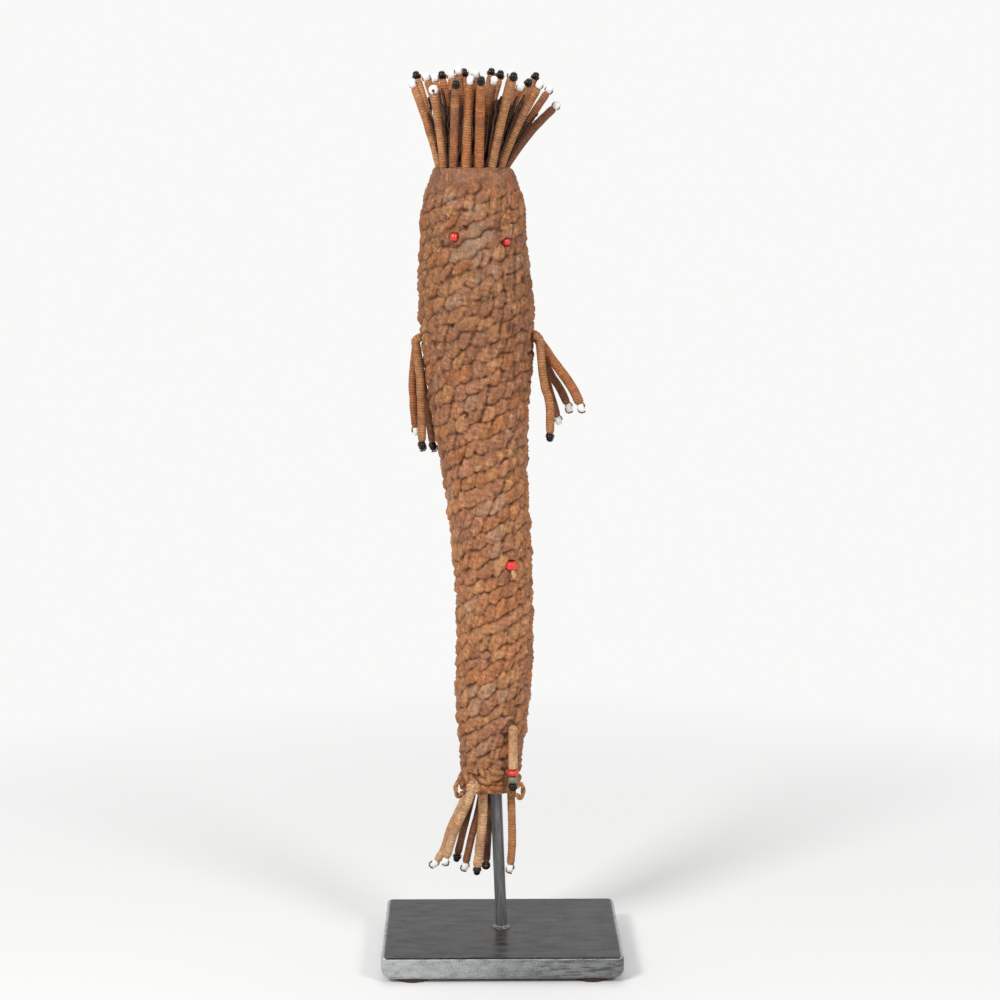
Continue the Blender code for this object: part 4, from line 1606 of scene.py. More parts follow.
@dataclass
class WoundStrand:
    """A stiff cord wound all along with thread, ending in a seed bead on a curl of thread."""

    node: str
    body: str
    glass: Glass
    facing: Facing
    hangs: bool
    seed: int
    sides: int = 16
    thread_pitch: float = 1.10 * MM
    thread_width: float = 1.92
    thread_sway: float = 0.22
    ridge: float = 0.21 * MM
    girth: Pair = (0.985, 0.035)
    tip_round: float = 2.2 * MM
    tip_width: float = 0.50
    root_round: float = 1.3 * MM
    root_width: float = 0.35
    root_beyond: float = 0.3 * MM
    nestled: float = 0.72
    seam_depths: Pair = (0.28, 0.88)
    # Painted shade near the tip, where the strand meets its bead.
    tip_shade: Pair = (-0.4 * MM, 1.2 * MM)
    stretch_length: float = 4.0 * MM
    stretches: int = 16
    turn_shades: Pair = (0.88, 1.10)
    fibre_shares: tuple[float, ...] = (0.68, 0.12, 0.08, 0.08, 0.04)
    curl_radius: float = 0.34 * MM
    bead_radius: float = 2.0 * MM
    bead_length: float = 2.8 * MM
    bead_hole: float = 0.62 * MM
    curls_over: bool = False
    fibre: Fibre = Fibre.TAN
    banding: float = 0.45
    # How light the strand's tone is made; the hair uses it as painted light, lighter on the left.
    shade: float = 1.0
    finish: FibreFinish = WRAPPED
    into: Triple = (0.0, 0.0, 0.0)
    bight: bool = False
    bight_radius: float = 1.05 * MM
    bight_size: Pair = (1.75 * MM, 2.5 * MM)
    spine: Spine | None = None

    def __post_init__(self) -> None:
        """Measures the strand, unless its line is given."""
        self.spine = self.spine or Spine.measure(self.node, self.hangs)

    def tones(self, turns: Array, along: Array) -> Array:
        """The thread's colour at each point.

        Args:
            turns: Which turn of the thread each point is on.
            along: How far along the strand it is.

        Returns:
            Linear red, green and blue.
        """
        rng = np.random.default_rng(self.seed)
        choices = (self.fibre, Fibre.TAN, Fibre.ORANGE, Fibre.BROWN, Fibre.PINK)
        base = np.array([choice.value for choice in choices])
        places = np.arange(self.stretches) * self.stretch_length
        chosen = base[rng.choice(len(choices), len(places), p=self.fibre_shares)]
        chosen = base[0] + self.banding * (chosen - base[0])
        tones = np.stack([np.interp(along, places, chosen[:, k]) for k in range(3)], -1)
        each_turn = self.shade * rng.uniform(*self.turn_shades, int(turns.max()) + 3)
        return tones * each_turn[np.floor(turns).astype(int) + 1][..., None]

    def girths(self, line: Array, along: Array) -> Array:
        """The strand's radius at each point of its line, over the thread.

        Args:
            line: The points of the line.
            along: How far along it each point is.

        Returns:
            The radius, drawn in at the tip, and at the root of a strand that hangs.
        """
        plain, swing = self.girth
        wide = self.spine.radius * (plain + swing * Ripple(self.seed + 40, 7 * MM).at(line))
        left = quarter_round((along[-1] - along) / self.tip_round)
        wide = wide * (self.tip_width + (1 - self.tip_width) * left)
        if self.hangs:
            root = quarter_round(along / self.root_round)
            wide = wide * (self.root_width + (1 - self.root_width) * root)
        return wide

    def wound_skin(self) -> Skin:
        """The strand's surface, with every turn of its thread.

        Returns:
            Its skin.
        """
        spine = self.spine
        back = unit(spine.line[1] - spine.line[0]) * self.root_beyond
        root = spine.line[0] - back + np.array(self.into)
        tip = spine.bead - spine.way * self.nestled * self.bead_radius
        step = self.thread_pitch / 8
        line = smooth_line(np.vstack([root, spine.line, tip]), step)
        along = distance_along(line)
        angles = even_angles(self.sides) + np.random.default_rng(self.seed + 500).uniform(0, 1)
        turns = along[:, None] / self.thread_pitch + angles / (2 * math.pi)
        turns = turns + self.thread_sway * Ripple(self.seed + 80, 5 * MM).at(line)[:, None]
        within = (turns % 1 - 0.5) * self.thread_width
        thread = np.sqrt(np.clip(1 - within**2, 0, 1))
        wide = self.girths(line, along)[:, None] - self.ridge * (1 - thread)
        # Painted shade: the depth attribute falls in the grooves between the thread's turns and towards the
        # tip, for the finish to darken.
        seam, open_thread = self.seam_depths
        depth = np.clip((thread - seam) / (open_thread - seam), 0, 1)
        depth = depth * ease(along[-1] - along, *self.tip_shade)[:, None] ** 0.5
        grain = (along[:, None], (angles * spine.radius)[None], self.seed * MM)
        grain = np.stack(np.broadcast_arrays(*grain), -1)
        tone = self.tones(turns - turns.min(), along[:, None] + 0 * turns)
        return Skin(rings_round(line, angles, wide), tone, depth, grain)

    def curl_skin(self, hole: Array) -> Skin:
        """The thread that holds the bead: out of the strand's tip, through it and back.

        Args:
            hole: The way the bead's hole points.

        Returns:
            The thread's skin.
        """
        way = self.spine.way
        sideways = hole - way * (hole @ way)
        half, wide = self.bead_length / 2, self.bead_radius
        nearly_along = 0.3
        if np.linalg.norm(sideways) < nearly_along:
            steps = [(-2.6 * MM, 0), (-half, 0), (half, 0), (half + 0.8 * MM, 0)]
        else:
            steps = [
                (-(wide + 1.3 * MM), 0),
                (-(wide + 0.1 * MM), 0.5 * half),
                (-0.55 * wide, half + 0.15 * MM),
                (0, half + 0.12 * MM),
                (0, 0.4 * half),
                (0, -0.6 * half),
                (0, -(half + 0.15 * MM)),
            ]
            over = [
                (0.75 * wide, -(half + 0.25 * MM)),
                (wide + 0.30 * MM, -0.4 * half),
                (wide + 0.20 * MM, 0.8 * half),
            ]
            steps += over if self.curls_over else [(-0.7 * wide, -(half + 0.10 * MM))]
        side = unit(sideways)
        route = [self.spine.bead + way * along + side * aside for along, aside in steps]
        line = smooth_line(route, 0.22 * MM)
        return cord_skin(line, self.curl_radius, 10, 2.4 * MM, Fibre.BROWN, self.seed)

    def bight_skin(self) -> Skin:
        """The small folded loop that the strand starts from.

        Returns:
            The loop's skin.
        """
        start = self.spine.line[0]
        down = unit(self.spine.line[1] - start)
        side = unit(np.cross(down, [0.0, 1.0, 0.0]))
        centre = start + down * 0.6 * MM - [0.0, 0.5 * MM, 0.0]
        turns = np.linspace(0, 2 * math.pi, 17)[:, None]
        wide, tall = self.bight_size
        loop = centre + side * wide * np.sin(turns) - down * tall * np.cos(turns)
        line = smooth_line(loop, 0.25 * MM)
        return cord_skin(line, self.bight_radius, 14, 3.4 * MM, self.fibre, self.seed + 7)

    def hole_way(self) -> Array:
        """Chooses the way the bead's hole points.

        Returns:
            The way, at length one.
        """
        rng = np.random.default_rng(self.seed + 900)
        way = self.spine.way
        squared = 0.9
        if self.facing is Facing.ALONG:
            return way
        if self.facing is Facing.FORWARD:
            wanted = np.array([0.25 * rng.uniform(-1, 1), -1.0, 0.15 * rng.uniform(-1, 1)])
        else:
            wanted = np.array([rng.choice([-1.0, 1.0]), 0.35 * rng.uniform(-1, 1), 0.1])
        return unit(wanted - way * (wanted @ way) * squared)

    def build(self) -> None:
        """Builds the strand and its bead."""
        hole = self.hole_way()
        skins = [self.wound_skin(), self.curl_skin(hole)]
        if self.bight:
            skins.append(self.bight_skin())
        make_piece(f"wound_{self.node}", skins, self.finish, self.body, [self.node])
        size = (self.bead_radius, self.bead_length, self.bead_hole)
        Bead(f"bead_{self.node}", self.glass, *size).build(self.spine.bead, hole, self.body, [])


@dataclass
class Bead:
    """A seed bead: a short rounded tube of glass with a hole."""

    name: str
    glass: Glass
    radius: float
    length: float
    hole: float
    sides: int = 32
    fullness: float = 0.76

    def build(self, centre: Array, hole_way: Array, body: str, nodes: list[str]) -> None:
        """Turns the bead's outline round its hole.

        Args:
            centre: The bead's middle.
            hole_way: The way its hole points.
            body: The CAD body that it moves with.
            nodes: The CAD nodes that it stands for.
        """
        axis = unit(np.asarray(hole_way, float))
        off_axis = [0.31, 0.17, 0.94]
        first = unit(np.cross(axis, off_axis))
        second = np.cross(axis, first)
        arc = np.linspace(-math.pi / 2, math.pi / 2, 14)
        wide = self.hole + (self.radius - self.hole) * np.cos(arc) ** self.fullness
        tall = self.length / 2 * np.sin(arc)
        bore, bore_half = self.hole * 0.92, self.length * 0.6 / 2
        wide = np.append(wide, [bore, bore, wide[0]])
        tall = np.append(tall, [bore_half, -bore_half, tall[0]])
        turns = even_angles(self.sides)[:, None]
        ring = first * np.cos(turns) + second * np.sin(turns)
        points = centre + ring * wide[:, None, None] + axis * tall[:, None, None]
        make_piece(self.name, [Skin(points, capped=False)], GLASSES[self.glass], body, nodes)


@dataclass
class Hair:
    """The crown's bunch of wound strands. Each letter is one strand's glass, W white or B black."""

    glasses: str = "WWBWBBWWWBWBWWWBWWWWBBWBBB"
    ring_facing: tuple[int, ...] = (2,)
    fibres: tuple[Fibre, ...] = (Fibre.ORANGE, Fibre.TAN, Fibre.TAN, Fibre.BROWN, Fibre.ORANGE)
    bead_radius: float = 1.95 * MM
    banding: float = 0.75
    sides: int = 14
    first_seed: int = 100
    # Painted light: strands on the left are lighter and strands on the right darker, as the light falls
    # from the left.
    shades: Pair = (1.28, 0.84)
    light_fall_places: Pair = (-28.0 * MM, 12.0 * MM)

    def build(self) -> None:
        """Builds every hair strand, with painted light that leaves the strands lighter on the left and
        darker on the right.
        """
        for number, letter in enumerate(self.glasses, 1):
            node = f"hair_strand_{number:02d}"
            place = middle_of(node)[0][0]
            strand = WoundStrand(
                node=node,
                body="doll",
                glass=Glass.WHITE if letter == "W" else Glass.BLACK,
                facing=Facing.FORWARD if number in self.ring_facing else Facing.SIDEWAYS,
                hangs=False,
                seed=self.first_seed + number,
                sides=self.sides,
                bead_radius=self.bead_radius,
                fibre=self.fibres[number % len(self.fibres)],
                banding=self.banding,
                shade=float(np.interp(place, self.light_fall_places, self.shades)),
            )
            strand.build()


@dataclass
class GapShadeFibre:
    """Dark fibre ends in the gaps of the bunch of hair: a painted shadow where the gaps fall in shade."""

    strands: int = 26
    reach: float = 8.5 * MM
    radius: float = 0.62 * MM
    lay: float = 3.0 * MM
    shares: Pair = (0.36, 0.64)
    cut_places: Pair = (9.5, 13.9)
    scatter: float = 0.25 * MM
    shade_spread: Pair = (0.25, 0.75)
    seed: int = 61

    def build(self) -> None:
        """Builds the fibre ends, each between two neighbouring strands."""
        rng = np.random.default_rng(self.seed)
        numbers = range(1, self.strands + 1)
        lines = [Spine.measure(f"hair_strand_{number:02d}", False).line for number in numbers]
        skins = []
        for number, one in enumerate(lines):
            for other in lines[number + 1 :]:
                if np.linalg.norm(one[0] - other[0]) > self.reach:
                    continue
                for share in self.shares:
                    route = one * (1 - share) + other * share
                    route = route[1 : int(rng.uniform(*self.cut_places))]
                    route = route + rng.normal(0, self.scatter, route.shape) * [1, 1, 0]
                    line = smooth_line(route, 1.0 * MM)
                    shade = rng.uniform(*self.shade_spread)
                    seed = 700 + len(skins)
                    skins.append(cord_skin(line, self.radius, 8, self.lay, Fibre.DARK, seed, shade))
        make_piece("gap_shade_fibre", skins, GAP_SHADE, "doll", [])


@dataclass(frozen=True)
class LimbLook:
    """What one limb strand and its end look like."""

    node: str
    body: str
    glass: Glass
    fibre: Fibre
    curls_over: bool = False
    facing: Facing = Facing.SIDEWAYS
    bight: bool = False

    def is_leg(self) -> bool:
        """Whether the strand is one of the legs."""
        return self.node.startswith("leg")


@dataclass
class Limbs:
    """The wound strands of both arms and the legs."""

    body: BodyShape
    arm_into: float = 2.6 * MM
    leg_into: float = 1.3 * MM
    first_seed: int = 200
    looks: tuple[LimbLook, ...] = (
        LimbLook("arm_left_1", "left_arm", Glass.WHITE, Fibre.ORANGE),
        LimbLook("arm_left_2", "left_arm", Glass.BLACK, Fibre.TAN, True),
        LimbLook("arm_left_3", "left_arm", Glass.BLACK, Fibre.BROWN, True),
        LimbLook("arm_right_1", "right_arm", Glass.WHITE, Fibre.ORANGE, True),
        LimbLook("arm_right_2", "right_arm", Glass.WHITE, Fibre.BROWN, True),
        LimbLook("arm_right_3", "right_arm", Glass.BLACK, Fibre.TAN),
        LimbLook("arm_right_4", "right_arm", Glass.WHITE, Fibre.BROWN),
        LimbLook("leg_strand_1", "leg_1", Glass.WHITE, Fibre.PALE, True),
        LimbLook("leg_strand_2", "leg_2", Glass.BLACK, Fibre.DARK),
        LimbLook("leg_strand_3", "leg_3", Glass.WHITE, Fibre.BROWN, True),
        LimbLook("leg_strand_4", "leg_4", Glass.BLACK, Fibre.PALE),
        LimbLook("leg_strand_5", "leg_5", Glass.BLACK, Fibre.DARK, facing=Facing.FORWARD),
        LimbLook("leg_strand_6", "leg_6", Glass.WHITE, Fibre.TAN, True),
        LimbLook("leg_strand_7", "leg_7", Glass.WHITE, Fibre.PALE, True, bight=True),
    )

    def build(self) -> None:
        """Builds every limb strand."""
        for number, look in enumerate(self.looks, 1):
            strand = WoundStrand(
                node=look.node,
                body=look.body,
                glass=look.glass,
                facing=look.facing,
                hangs=True,
                seed=self.first_seed + number,
                curls_over=look.curls_over,
                fibre=look.fibre,
                finish=LEG_THREAD if look.is_leg() else WRAPPED,
                into=self.way_in(look),
                bight=look.bight,
            )
            strand.build()

    def way_in(self, look: LimbLook) -> Triple:
        """How far, and which way, a limb's root runs on into the cover.

        Args:
            look: The limb's look.

        Returns:
            The step from its root.
        """
        if look.bight:
            return (0.0, self.leg_into, 0.0)
        if look.is_leg():
            return (0.0, 0.0, self.leg_into)
        place, half = middle_of(look.node)
        side = math.copysign(1.0, self.body.middle(place[2] + half[2]) - place[0])
        return (side * self.arm_into, 0.0, 0.6 * self.arm_into)


@dataclass
class Knot:
    """A small overhand knot: a cord that goes once round itself."""

    centre: Array
    radius: float
    seed: int
    steps: int = 40

    def skin(self) -> Skin:
        """The knot's cord, on a route that crosses itself three times.

        Returns:
            Its skin.
        """
        turns = even_angles(self.steps)
        wide = self.radius * 0.55
        across = (np.sin(turns) + 0.9 * np.sin(2 * turns)) * 0.62
        forward = (np.cos(turns) - 0.9 * np.cos(2 * turns)) * 0.62
        route = wide * np.stack([across, forward, -np.sin(3 * turns) * 0.9], 1)
        line = smooth_line(self.centre + np.vstack([route, route[:1]]), 0.2 * MM)
        radius = self.radius * 0.42
        return cord_skin(line, radius, 10, self.radius * 2, Fibre.BROWN, self.seed)


@dataclass
class Pendant:
    """The wound pendant on the body's front, with its three beads and the knot below them."""

    cord_radius: float = 2.0 * MM
    thread_pitch: float = 0.85 * MM
    into: Triple = (0.0, 1.2 * MM, 0.4 * MM)
    thread_radius: float = 0.5 * MM
    knot_radius: float = 1.35 * MM
    knot_height: float = 1.1 * MM
    bead_hole: float = 0.8 * MM
    seed: int = 260
    beads: tuple[tuple[str, Glass], ...] = (
        ("pendant_bead_red", Glass.RED),
        ("pendant_bead_green", Glass.GREEN),
        ("pendant_bead_black", Glass.BLACK),
    )

    def build(self) -> None:
        """Builds the wound cord, its beads, the thread through them and the end knot."""
        low, high = box_of("pendant_cord")
        first_bead = box_of(self.beads[0][0])[1][2]
        middle = np.array([*(low + high)[:2] / 2, 0.0])
        top, end = middle + [0, 0, high[2] - 0.2 * MM], middle + [0, 0, first_bead + 0.5 * MM]
        down = np.array([0.0, 0.0, -1.0])
        wound = WoundStrand(
            node="pendant_cord",
            body="pendant",
            glass=Glass.RED,
            facing=Facing.ALONG,
            hangs=True,
            seed=self.seed,
            fibre=Fibre.PALE,
            sides=18,
            thread_pitch=self.thread_pitch,
            into=self.into,
            spine=Spine(np.linspace(top, end, 8), self.cord_radius, end, down),
        )
        knot_place = middle + [0, 0, low[2] + self.knot_height]
        line = resampled(np.array([end + [0, 0, 1.0 * MM], knot_place + [0, 0, 0.1 * MM]]), 0.3 * MM)
        thread = cord_skin(line, self.thread_radius, 10, 2.5 * MM, Fibre.BROWN, self.seed + 1)
        knot = Knot(knot_place, self.knot_radius, self.seed + 10).skin()
        skins = [wound.wound_skin(), thread, knot]
        make_piece("pendant_wound_cord", skins, LEG_THREAD, "pendant", ["pendant_cord"])
        for node, glass in self.beads:
            middle, half = middle_of(node)
            bead = Bead(f"glass_{node}", glass, half[0], 2 * half[2], self.bead_hole)
            bead.build(middle, -down, "pendant", [node])


@dataclass(frozen=True)
class FootCord:
    """A cord of the body's foot, by the pixels of the photograph that its middle passes."""

    radius: float
    lift: float
    fibre: Fibre
    across: tuple[float, ...]
    down: tuple[float, ...]


@dataclass
class FootKnots:
    """The twisted cords that tie off the cover's foot, and its two free loops."""

    body: BodyShape
    cords: tuple[FootCord, ...] = (
        FootCord(2.1 * MM, 0.2 * MM, Fibre.TAN, (465, 472, 483, 495, 503), (772, 779, 781, 777, 770)),
        FootCord(2.0 * MM, 0.1 * MM, Fibre.ORANGE, (468, 476, 486, 496, 503), (789, 786, 789, 788, 782)),
        FootCord(1.9 * MM, 0.3 * MM, Fibre.TAN, (478, 486, 492), (768, 774, 783)),
    )
    cord_lay: float = 8.5 * MM
    cord_shade: float = 0.78
    back_cords: int = 7
    back_start_deg: float = 20
    back_radius: float = 2.0 * MM
    back_sunk: float = 0.2 * MM
    back_scatter: float = 0.03
    back_steps: tuple[float, ...] = (-0.32, -0.1, 0.12, 0.36)
    back_rises: tuple[float, ...] = (1.5 * MM, 4.5 * MM, 5.5 * MM, 2.0 * MM)
    back_fibres: tuple[Fibre, ...] = (Fibre.TAN, Fibre.ORANGE, Fibre.BROWN)
    loops: tuple[str, ...] = ("cord_loop_left", "cord_loop_right")
    loop_turn: float = 0.80 * math.pi
    loop_thickness: float = 1.4
    loop_twist: float = 0.25
    loop_into: Pair = (1.6 * MM, 0.3 * MM)
    loop_shade: float = 0.90

    def build(self) -> None:
        """Builds the foot's cords, then the loops."""
        skins = []
        for number, cord in enumerate(self.cords):
            seen = [self.body.seen_at(*pixel) for pixel in zip(cord.across, cord.down)]
            spots = [spot + self.body.outward(spot) * cord.lift for spot in seen]
            line = smooth_line(spots, 0.35 * MM)
            seed = 300 + number
            skin = cord_skin(line, cord.radius, 20, self.cord_lay, cord.fibre, seed, self.cord_shade)
            skins.append(skin)
        for number in range(self.back_cords):
            turn = math.radians(self.back_start_deg + 32 * number)
            skins.append(self.back_cord(turn, 310 + number))
        make_piece("foot_knots", skins, HITCHED, "doll", [])
        for number, node in enumerate(self.loops):
            self.build_loop(node, 330 + number)

    def back_cord(self, turn: float, seed: int) -> Skin:
        """One of the cords that cross the foot's rim where the photograph doesn't reach.

        Args:
            turn: The angle round the body of its middle.
            seed: Fixes its unevenness and its colour.

        Returns:
            The cord's skin.
        """
        rng = np.random.default_rng(seed)
        spots = []
        for step, rise in zip(self.back_steps, self.back_rises):
            height = self.body.foot + rise
            angle = turn + step + rng.normal(0, self.back_scatter)
            reach = float(self.body.radius(height)) - self.back_sunk
            middle = float(self.body.middle(height))
            spots.append((middle + reach * math.cos(angle), reach * math.sin(angle), height))
        line = smooth_line(spots, 0.35 * MM)
        fibre = self.back_fibres[seed % len(self.back_fibres)]
        return cord_skin(line, self.back_radius, 16, self.cord_lay, fibre, seed, self.cord_shade)

    def build_loop(self, node: str, seed: int) -> None:
        """A free loop of cord whose two ends run back into the cover.

        Args:
            node: The loop's CAD node.
            seed: Fixes its unevenness.
        """
        centre, half = middle_of(node)
        wide, thick, tall = half - [half[1], 0, half[1]]
        side = 1.0 if centre[0] > self.body.middle(centre[2]) else -1.0
        turns = np.linspace(-self.loop_turn, self.loop_turn, 15)
        across, up = np.cos(turns) * side * wide, np.sin(turns) * tall
        loop = centre + np.stack([across, self.loop_twist * thick * np.sin(turns), up], 1)
        into = np.array([-side * self.loop_into[0], self.loop_into[1], 0.0])
        line = smooth_line(np.vstack([loop[0] + into, loop, loop[-1] + into]), 0.25 * MM)
        radius = self.loop_thickness * thick
        skin = cord_skin(line, radius, 16, 7.5 * MM, Fibre.TAN, seed, self.loop_shade)
        make_piece(f"twisted_{node}", [skin], HITCHED, "doll", [node])


@dataclass
class SunkBeads:
    """The eye beads and the navel bead, half sunk in the cover."""

    body: BodyShape
    eyes: tuple[str, ...] = ("eye_bead_left", "eye_bead_right")
    sunk_deeper: str = "eye_bead_right"
    deeper: float = 0.25 * MM
    navel: str = "navel_bead"
    navel_swell: float = 1.12
    hole_share: float = 0.25
    tail: float = 3.4 * MM
    tail_radius: float = 0.95 * MM

    def build_eyes(self) -> None:
        """Builds the eye beads, their holes to the sides."""
        for node in self.eyes:
            centre, half = middle_of(node)
            radius = half[2]
            outward = self.body.outward(centre)
            if node == self.sunk_deeper:
                radius *= 0.84
                centre = centre - outward * self.deeper
            size = (radius, 1.78 * radius, self.hole_share * radius)
            bead = Bead(f"glass_{node}", Glass.RED, *size)
            bead.build(centre, np.cross(outward, [0.0, 0.0, 1.0]), "doll", [node])

    def build_navel(self) -> None:
        """Builds the navel bead, its hole upright, and the tip of cord below it."""
        centre, half = middle_of(self.navel)
        radius = half[2] * self.navel_swell
        size = (radius, 1.5 * radius, self.hole_share * radius)
        bead = Bead(f"glass_{self.navel}", Glass.RED, *size)
        bead.build(centre, np.array([0.0, 0.0, 1.0]), "doll", [self.navel])
        outward = self.body.outward(centre)
        start = centre - [0, 0, 0.7 * half[2]] + outward * 0.6 * MM
        fall = np.array([[0, 0, 0], [0.3 * MM, 0, -0.5 * self.tail], [0.7 * MM, 0, -self.tail]])
        swing = outward * np.array([[0.0], [0.9 * MM], [0.3 * MM]])
        line = smooth_line(start + fall + swing, 0.25 * MM)
        skin = cord_skin(line, self.tail_radius, 14, 4.0 * MM, Fibre.PALE, 350)
        make_piece("navel_cord_tip", [skin], HITCHED, "doll", [])

    def build(self) -> None:
        """Builds the three beads and the tip of cord."""
        self.build_eyes()
        self.build_navel()


@dataclass
class Stand:
    """The steel plate with its pads, the leaning rod and the braze round the rod's foot."""

    corner_radius: float = 3.0 * MM
    top_round: float = 0.6 * MM
    side_round: float = 4.0 * MM
    foot_bevel: float = 1.2 * MM
    corner_steps: int = 8
    edge_wave: float = 0.10 * MM
    edge_wave_drops: Pair = (1.2 * MM, 0.2 * MM)
    rod_wave: float = 0.012 * MM
    chamfer: float = 0.5 * MM
    braze_lump: float = 0.12 * MM
    braze_reaches: tuple[float, ...] = (0.0, 1.0, 0.9, 0.5, 0.25, 0.1, 0.0)
    braze_heights: tuple[float, ...] = (-0.2, -0.2, 0.1, 0.3, 0.6, 1.0, 0.98)
    pads: int = 4
    pad_fray: float = 0.14 * MM
    pad_reaches: tuple[float, ...] = (0.0, 0.97, 1.0, 1.0, 0.985, 0.0)
    pad_heights: tuple[float, ...] = (0.0, 0.0, 0.2, 0.75, 1.0, 1.0)
    first_seed: int = 401

    def levels(self, low: float, high: float) -> list[Triple]:
        """The levels of the plate's edge, from its foot up.

        Args:
            low: The foot's height.
            high: The top's height.

        Returns:
            Each level's height, its inset at the two short sides and its inset elsewhere.
        """
        found = []
        for turn in np.linspace(0, math.pi / 2, 10):
            rise = self.side_round * (1 - math.cos(turn))
            inset = max(self.foot_bevel - rise, 0)
            found.append((low + rise, self.side_round * (1 - math.sin(turn)), inset))
        for turn in np.linspace(0, math.pi / 2, 6):
            drop = self.top_round * (1 - math.sin(turn))
            inset = self.top_round * (1 - math.cos(turn))
            found.append((high - drop, inset, inset))
        return found

    def plate_outline(self, half: Array, side_inset: float, inset: float) -> Array:
        """A level outline of the plate, evenly spaced along its edges and round its corners.

        Args:
            half: Half the plate's size each way.
            side_inset: How far the two short sides stand in.
            inset: How far the rest stands in.

        Returns:
            The outline's points, across and forward.
        """
        inner = np.array([
            half[0] - self.corner_radius - side_inset + inset, half[1] - self.corner_radius
        ])
        reach = self.corner_radius - inset
        corners = np.array([(1, 1), (-1, 1), (-1, -1), (1, -1)])
        edge_shares = np.linspace(0, 1, 70 + 2)[1:-1, None]
        spots = []
        for quarter, corner in enumerate(corners):
            turns = math.pi / 2 * (quarter + np.arange(self.corner_steps + 1) / self.corner_steps)
            ways = np.stack([np.cos(turns), np.sin(turns)], 1)
            start = corner * inner + reach * ways
            end = corners[(quarter + 1) % len(corners)] * inner + reach * ways[-1]
            spots += [start, start[-1] + (end - start[-1]) * edge_shares]
        return np.vstack(spots)

    def build_plate(self) -> None:
        """The plate, with a slightly wavy upper edge and three finishes."""
        low, high = box_of("base_plate")
        middle, half = (low + high) / 2, (high - low) / 2
        wave = Ripple(self.first_seed, 9 * MM)
        wave_low, wave_high = (high[2] - drop for drop in self.edge_wave_drops)
        rings = []
        for height, side_inset, inset in self.levels(low[2], high[2]):
            flat = self.plate_outline(half, side_inset, inset)
            ring = np.column_stack([flat + middle[:2], np.full(len(flat), height)])
            inward = unit(np.column_stack([-flat, np.zeros(len(flat))]))
            near_top = self.edge_wave * ease(np.full(len(flat), height), wave_low, wave_high)
            rings.append(ring + inward * (near_top * (1 + wave.at(ring)))[:, None])
        points = np.array(rings)
        points[-1, :, 2] = high[2]
        plate = make_piece("steel_plate", [Skin(points)], PLATE_SIDE_STEEL, "stand", ["base_plate"])
        plate.data.materials.append(PLATE_TOP_STEEL.material())
        plate.data.materials.append(PLATE_ARRIS_DARK_REFLECTION.material())
        # The top faces take the top's painted dark reflection, and the front arris faces take the arris's
        # painted dark reflection.
        flat_on, nearly_up, tipped_up, to_the_side = 0.999, 0.85, 0.12, 0.35
        for face in plate.data.polygons:
            face.use_smooth = abs(face.normal.z) < flat_on
            if face.normal.z > nearly_up:
                face.material_index = 1
            elif face.normal.z > tipped_up and abs(face.normal.x) < to_the_side:
                face.material_index = 2

    def build_rod(self) -> None:
        """The rod, chamfered at both ends, with a faint unevenness along it."""
        foot, head, radius = rod_line()
        line = resampled(np.array([foot, head]), 1.0 * MM)
        length = float(np.linalg.norm(head - foot))
        along = np.linspace(0, length, len(line))
        edge = np.clip(np.minimum(along, length - along) / self.chamfer, 0, 1)
        wave = self.rod_wave * Ripple(self.first_seed + 1, 8 * MM).at(line)
        wide = radius - self.chamfer * (1 - edge) + wave
        points = rings_round(line, even_angles(64), wide[:, None])
        make_piece("steel_rod", [Skin(points)], ROD_STEEL, "stand", ["support_rod"])

    def build_braze(self) -> None:
        """The lumpy fillet of braze round the rod's foot."""
        middle, half = middle_of("rod_weld")
        foot = middle - [0, 0, half[2]]
        sunk = 0.1 * MM
        radius = rod_line()[2]
        ring = level_circle(72)
        lumps = Ripple(self.first_seed + 2, 2.2 * MM)
        rings = []
        for out, up in zip(self.braze_reaches, self.braze_heights):
            reach = radius - sunk + out * (half[0] - radius)
            spots = foot + ring * reach + [0, 0, up * 2 * half[2]]
            bulge = self.braze_lump * lumps.at(spots) * min(out + up, 1)
            rings.append(spots + ring * bulge[:, None] * (out > 0))
        skin = Skin(np.array(rings), capped=False)
        make_piece("braze_fillet", [skin], BRAZE, "stand", ["rod_weld"])

    def build_pads(self) -> None:
        """The felt pads, ragged at their rims and pressed under the plate."""
        ring = level_circle(96)
        least, fray_middle = 0.2 * MM, 0.6
        for number in range(1, self.pads + 1):
            node = f"foot_pad_{number}"
            middle, half = middle_of(node)
            foot = middle - [0, 0, half[2]]
            fray = Ripple(self.first_seed + 9 + number, 1.2 * MM)
            rings = []
            for out, up in zip(self.pad_reaches, self.pad_heights):
                spots = foot + ring * max(out * half[0], least) + [0, 0, up * 2 * half[2]]
                frayed = self.pad_fray * (fray_middle + fray.at(spots)) * out
                rings.append(spots - ring * frayed[:, None])
            make_piece(f"felt_{node}", [Skin(np.array(rings))], FELT, "stand", [node])

    def build(self) -> None:
        """Builds the whole stand."""
        self.build_plate()
        self.build_rod()
        self.build_braze()
        self.build_pads()


@dataclass(frozen=True)
class Lamp:
    """One soft lamp of the studio."""

    name: str
    place: Triple
    size: float
    power: float


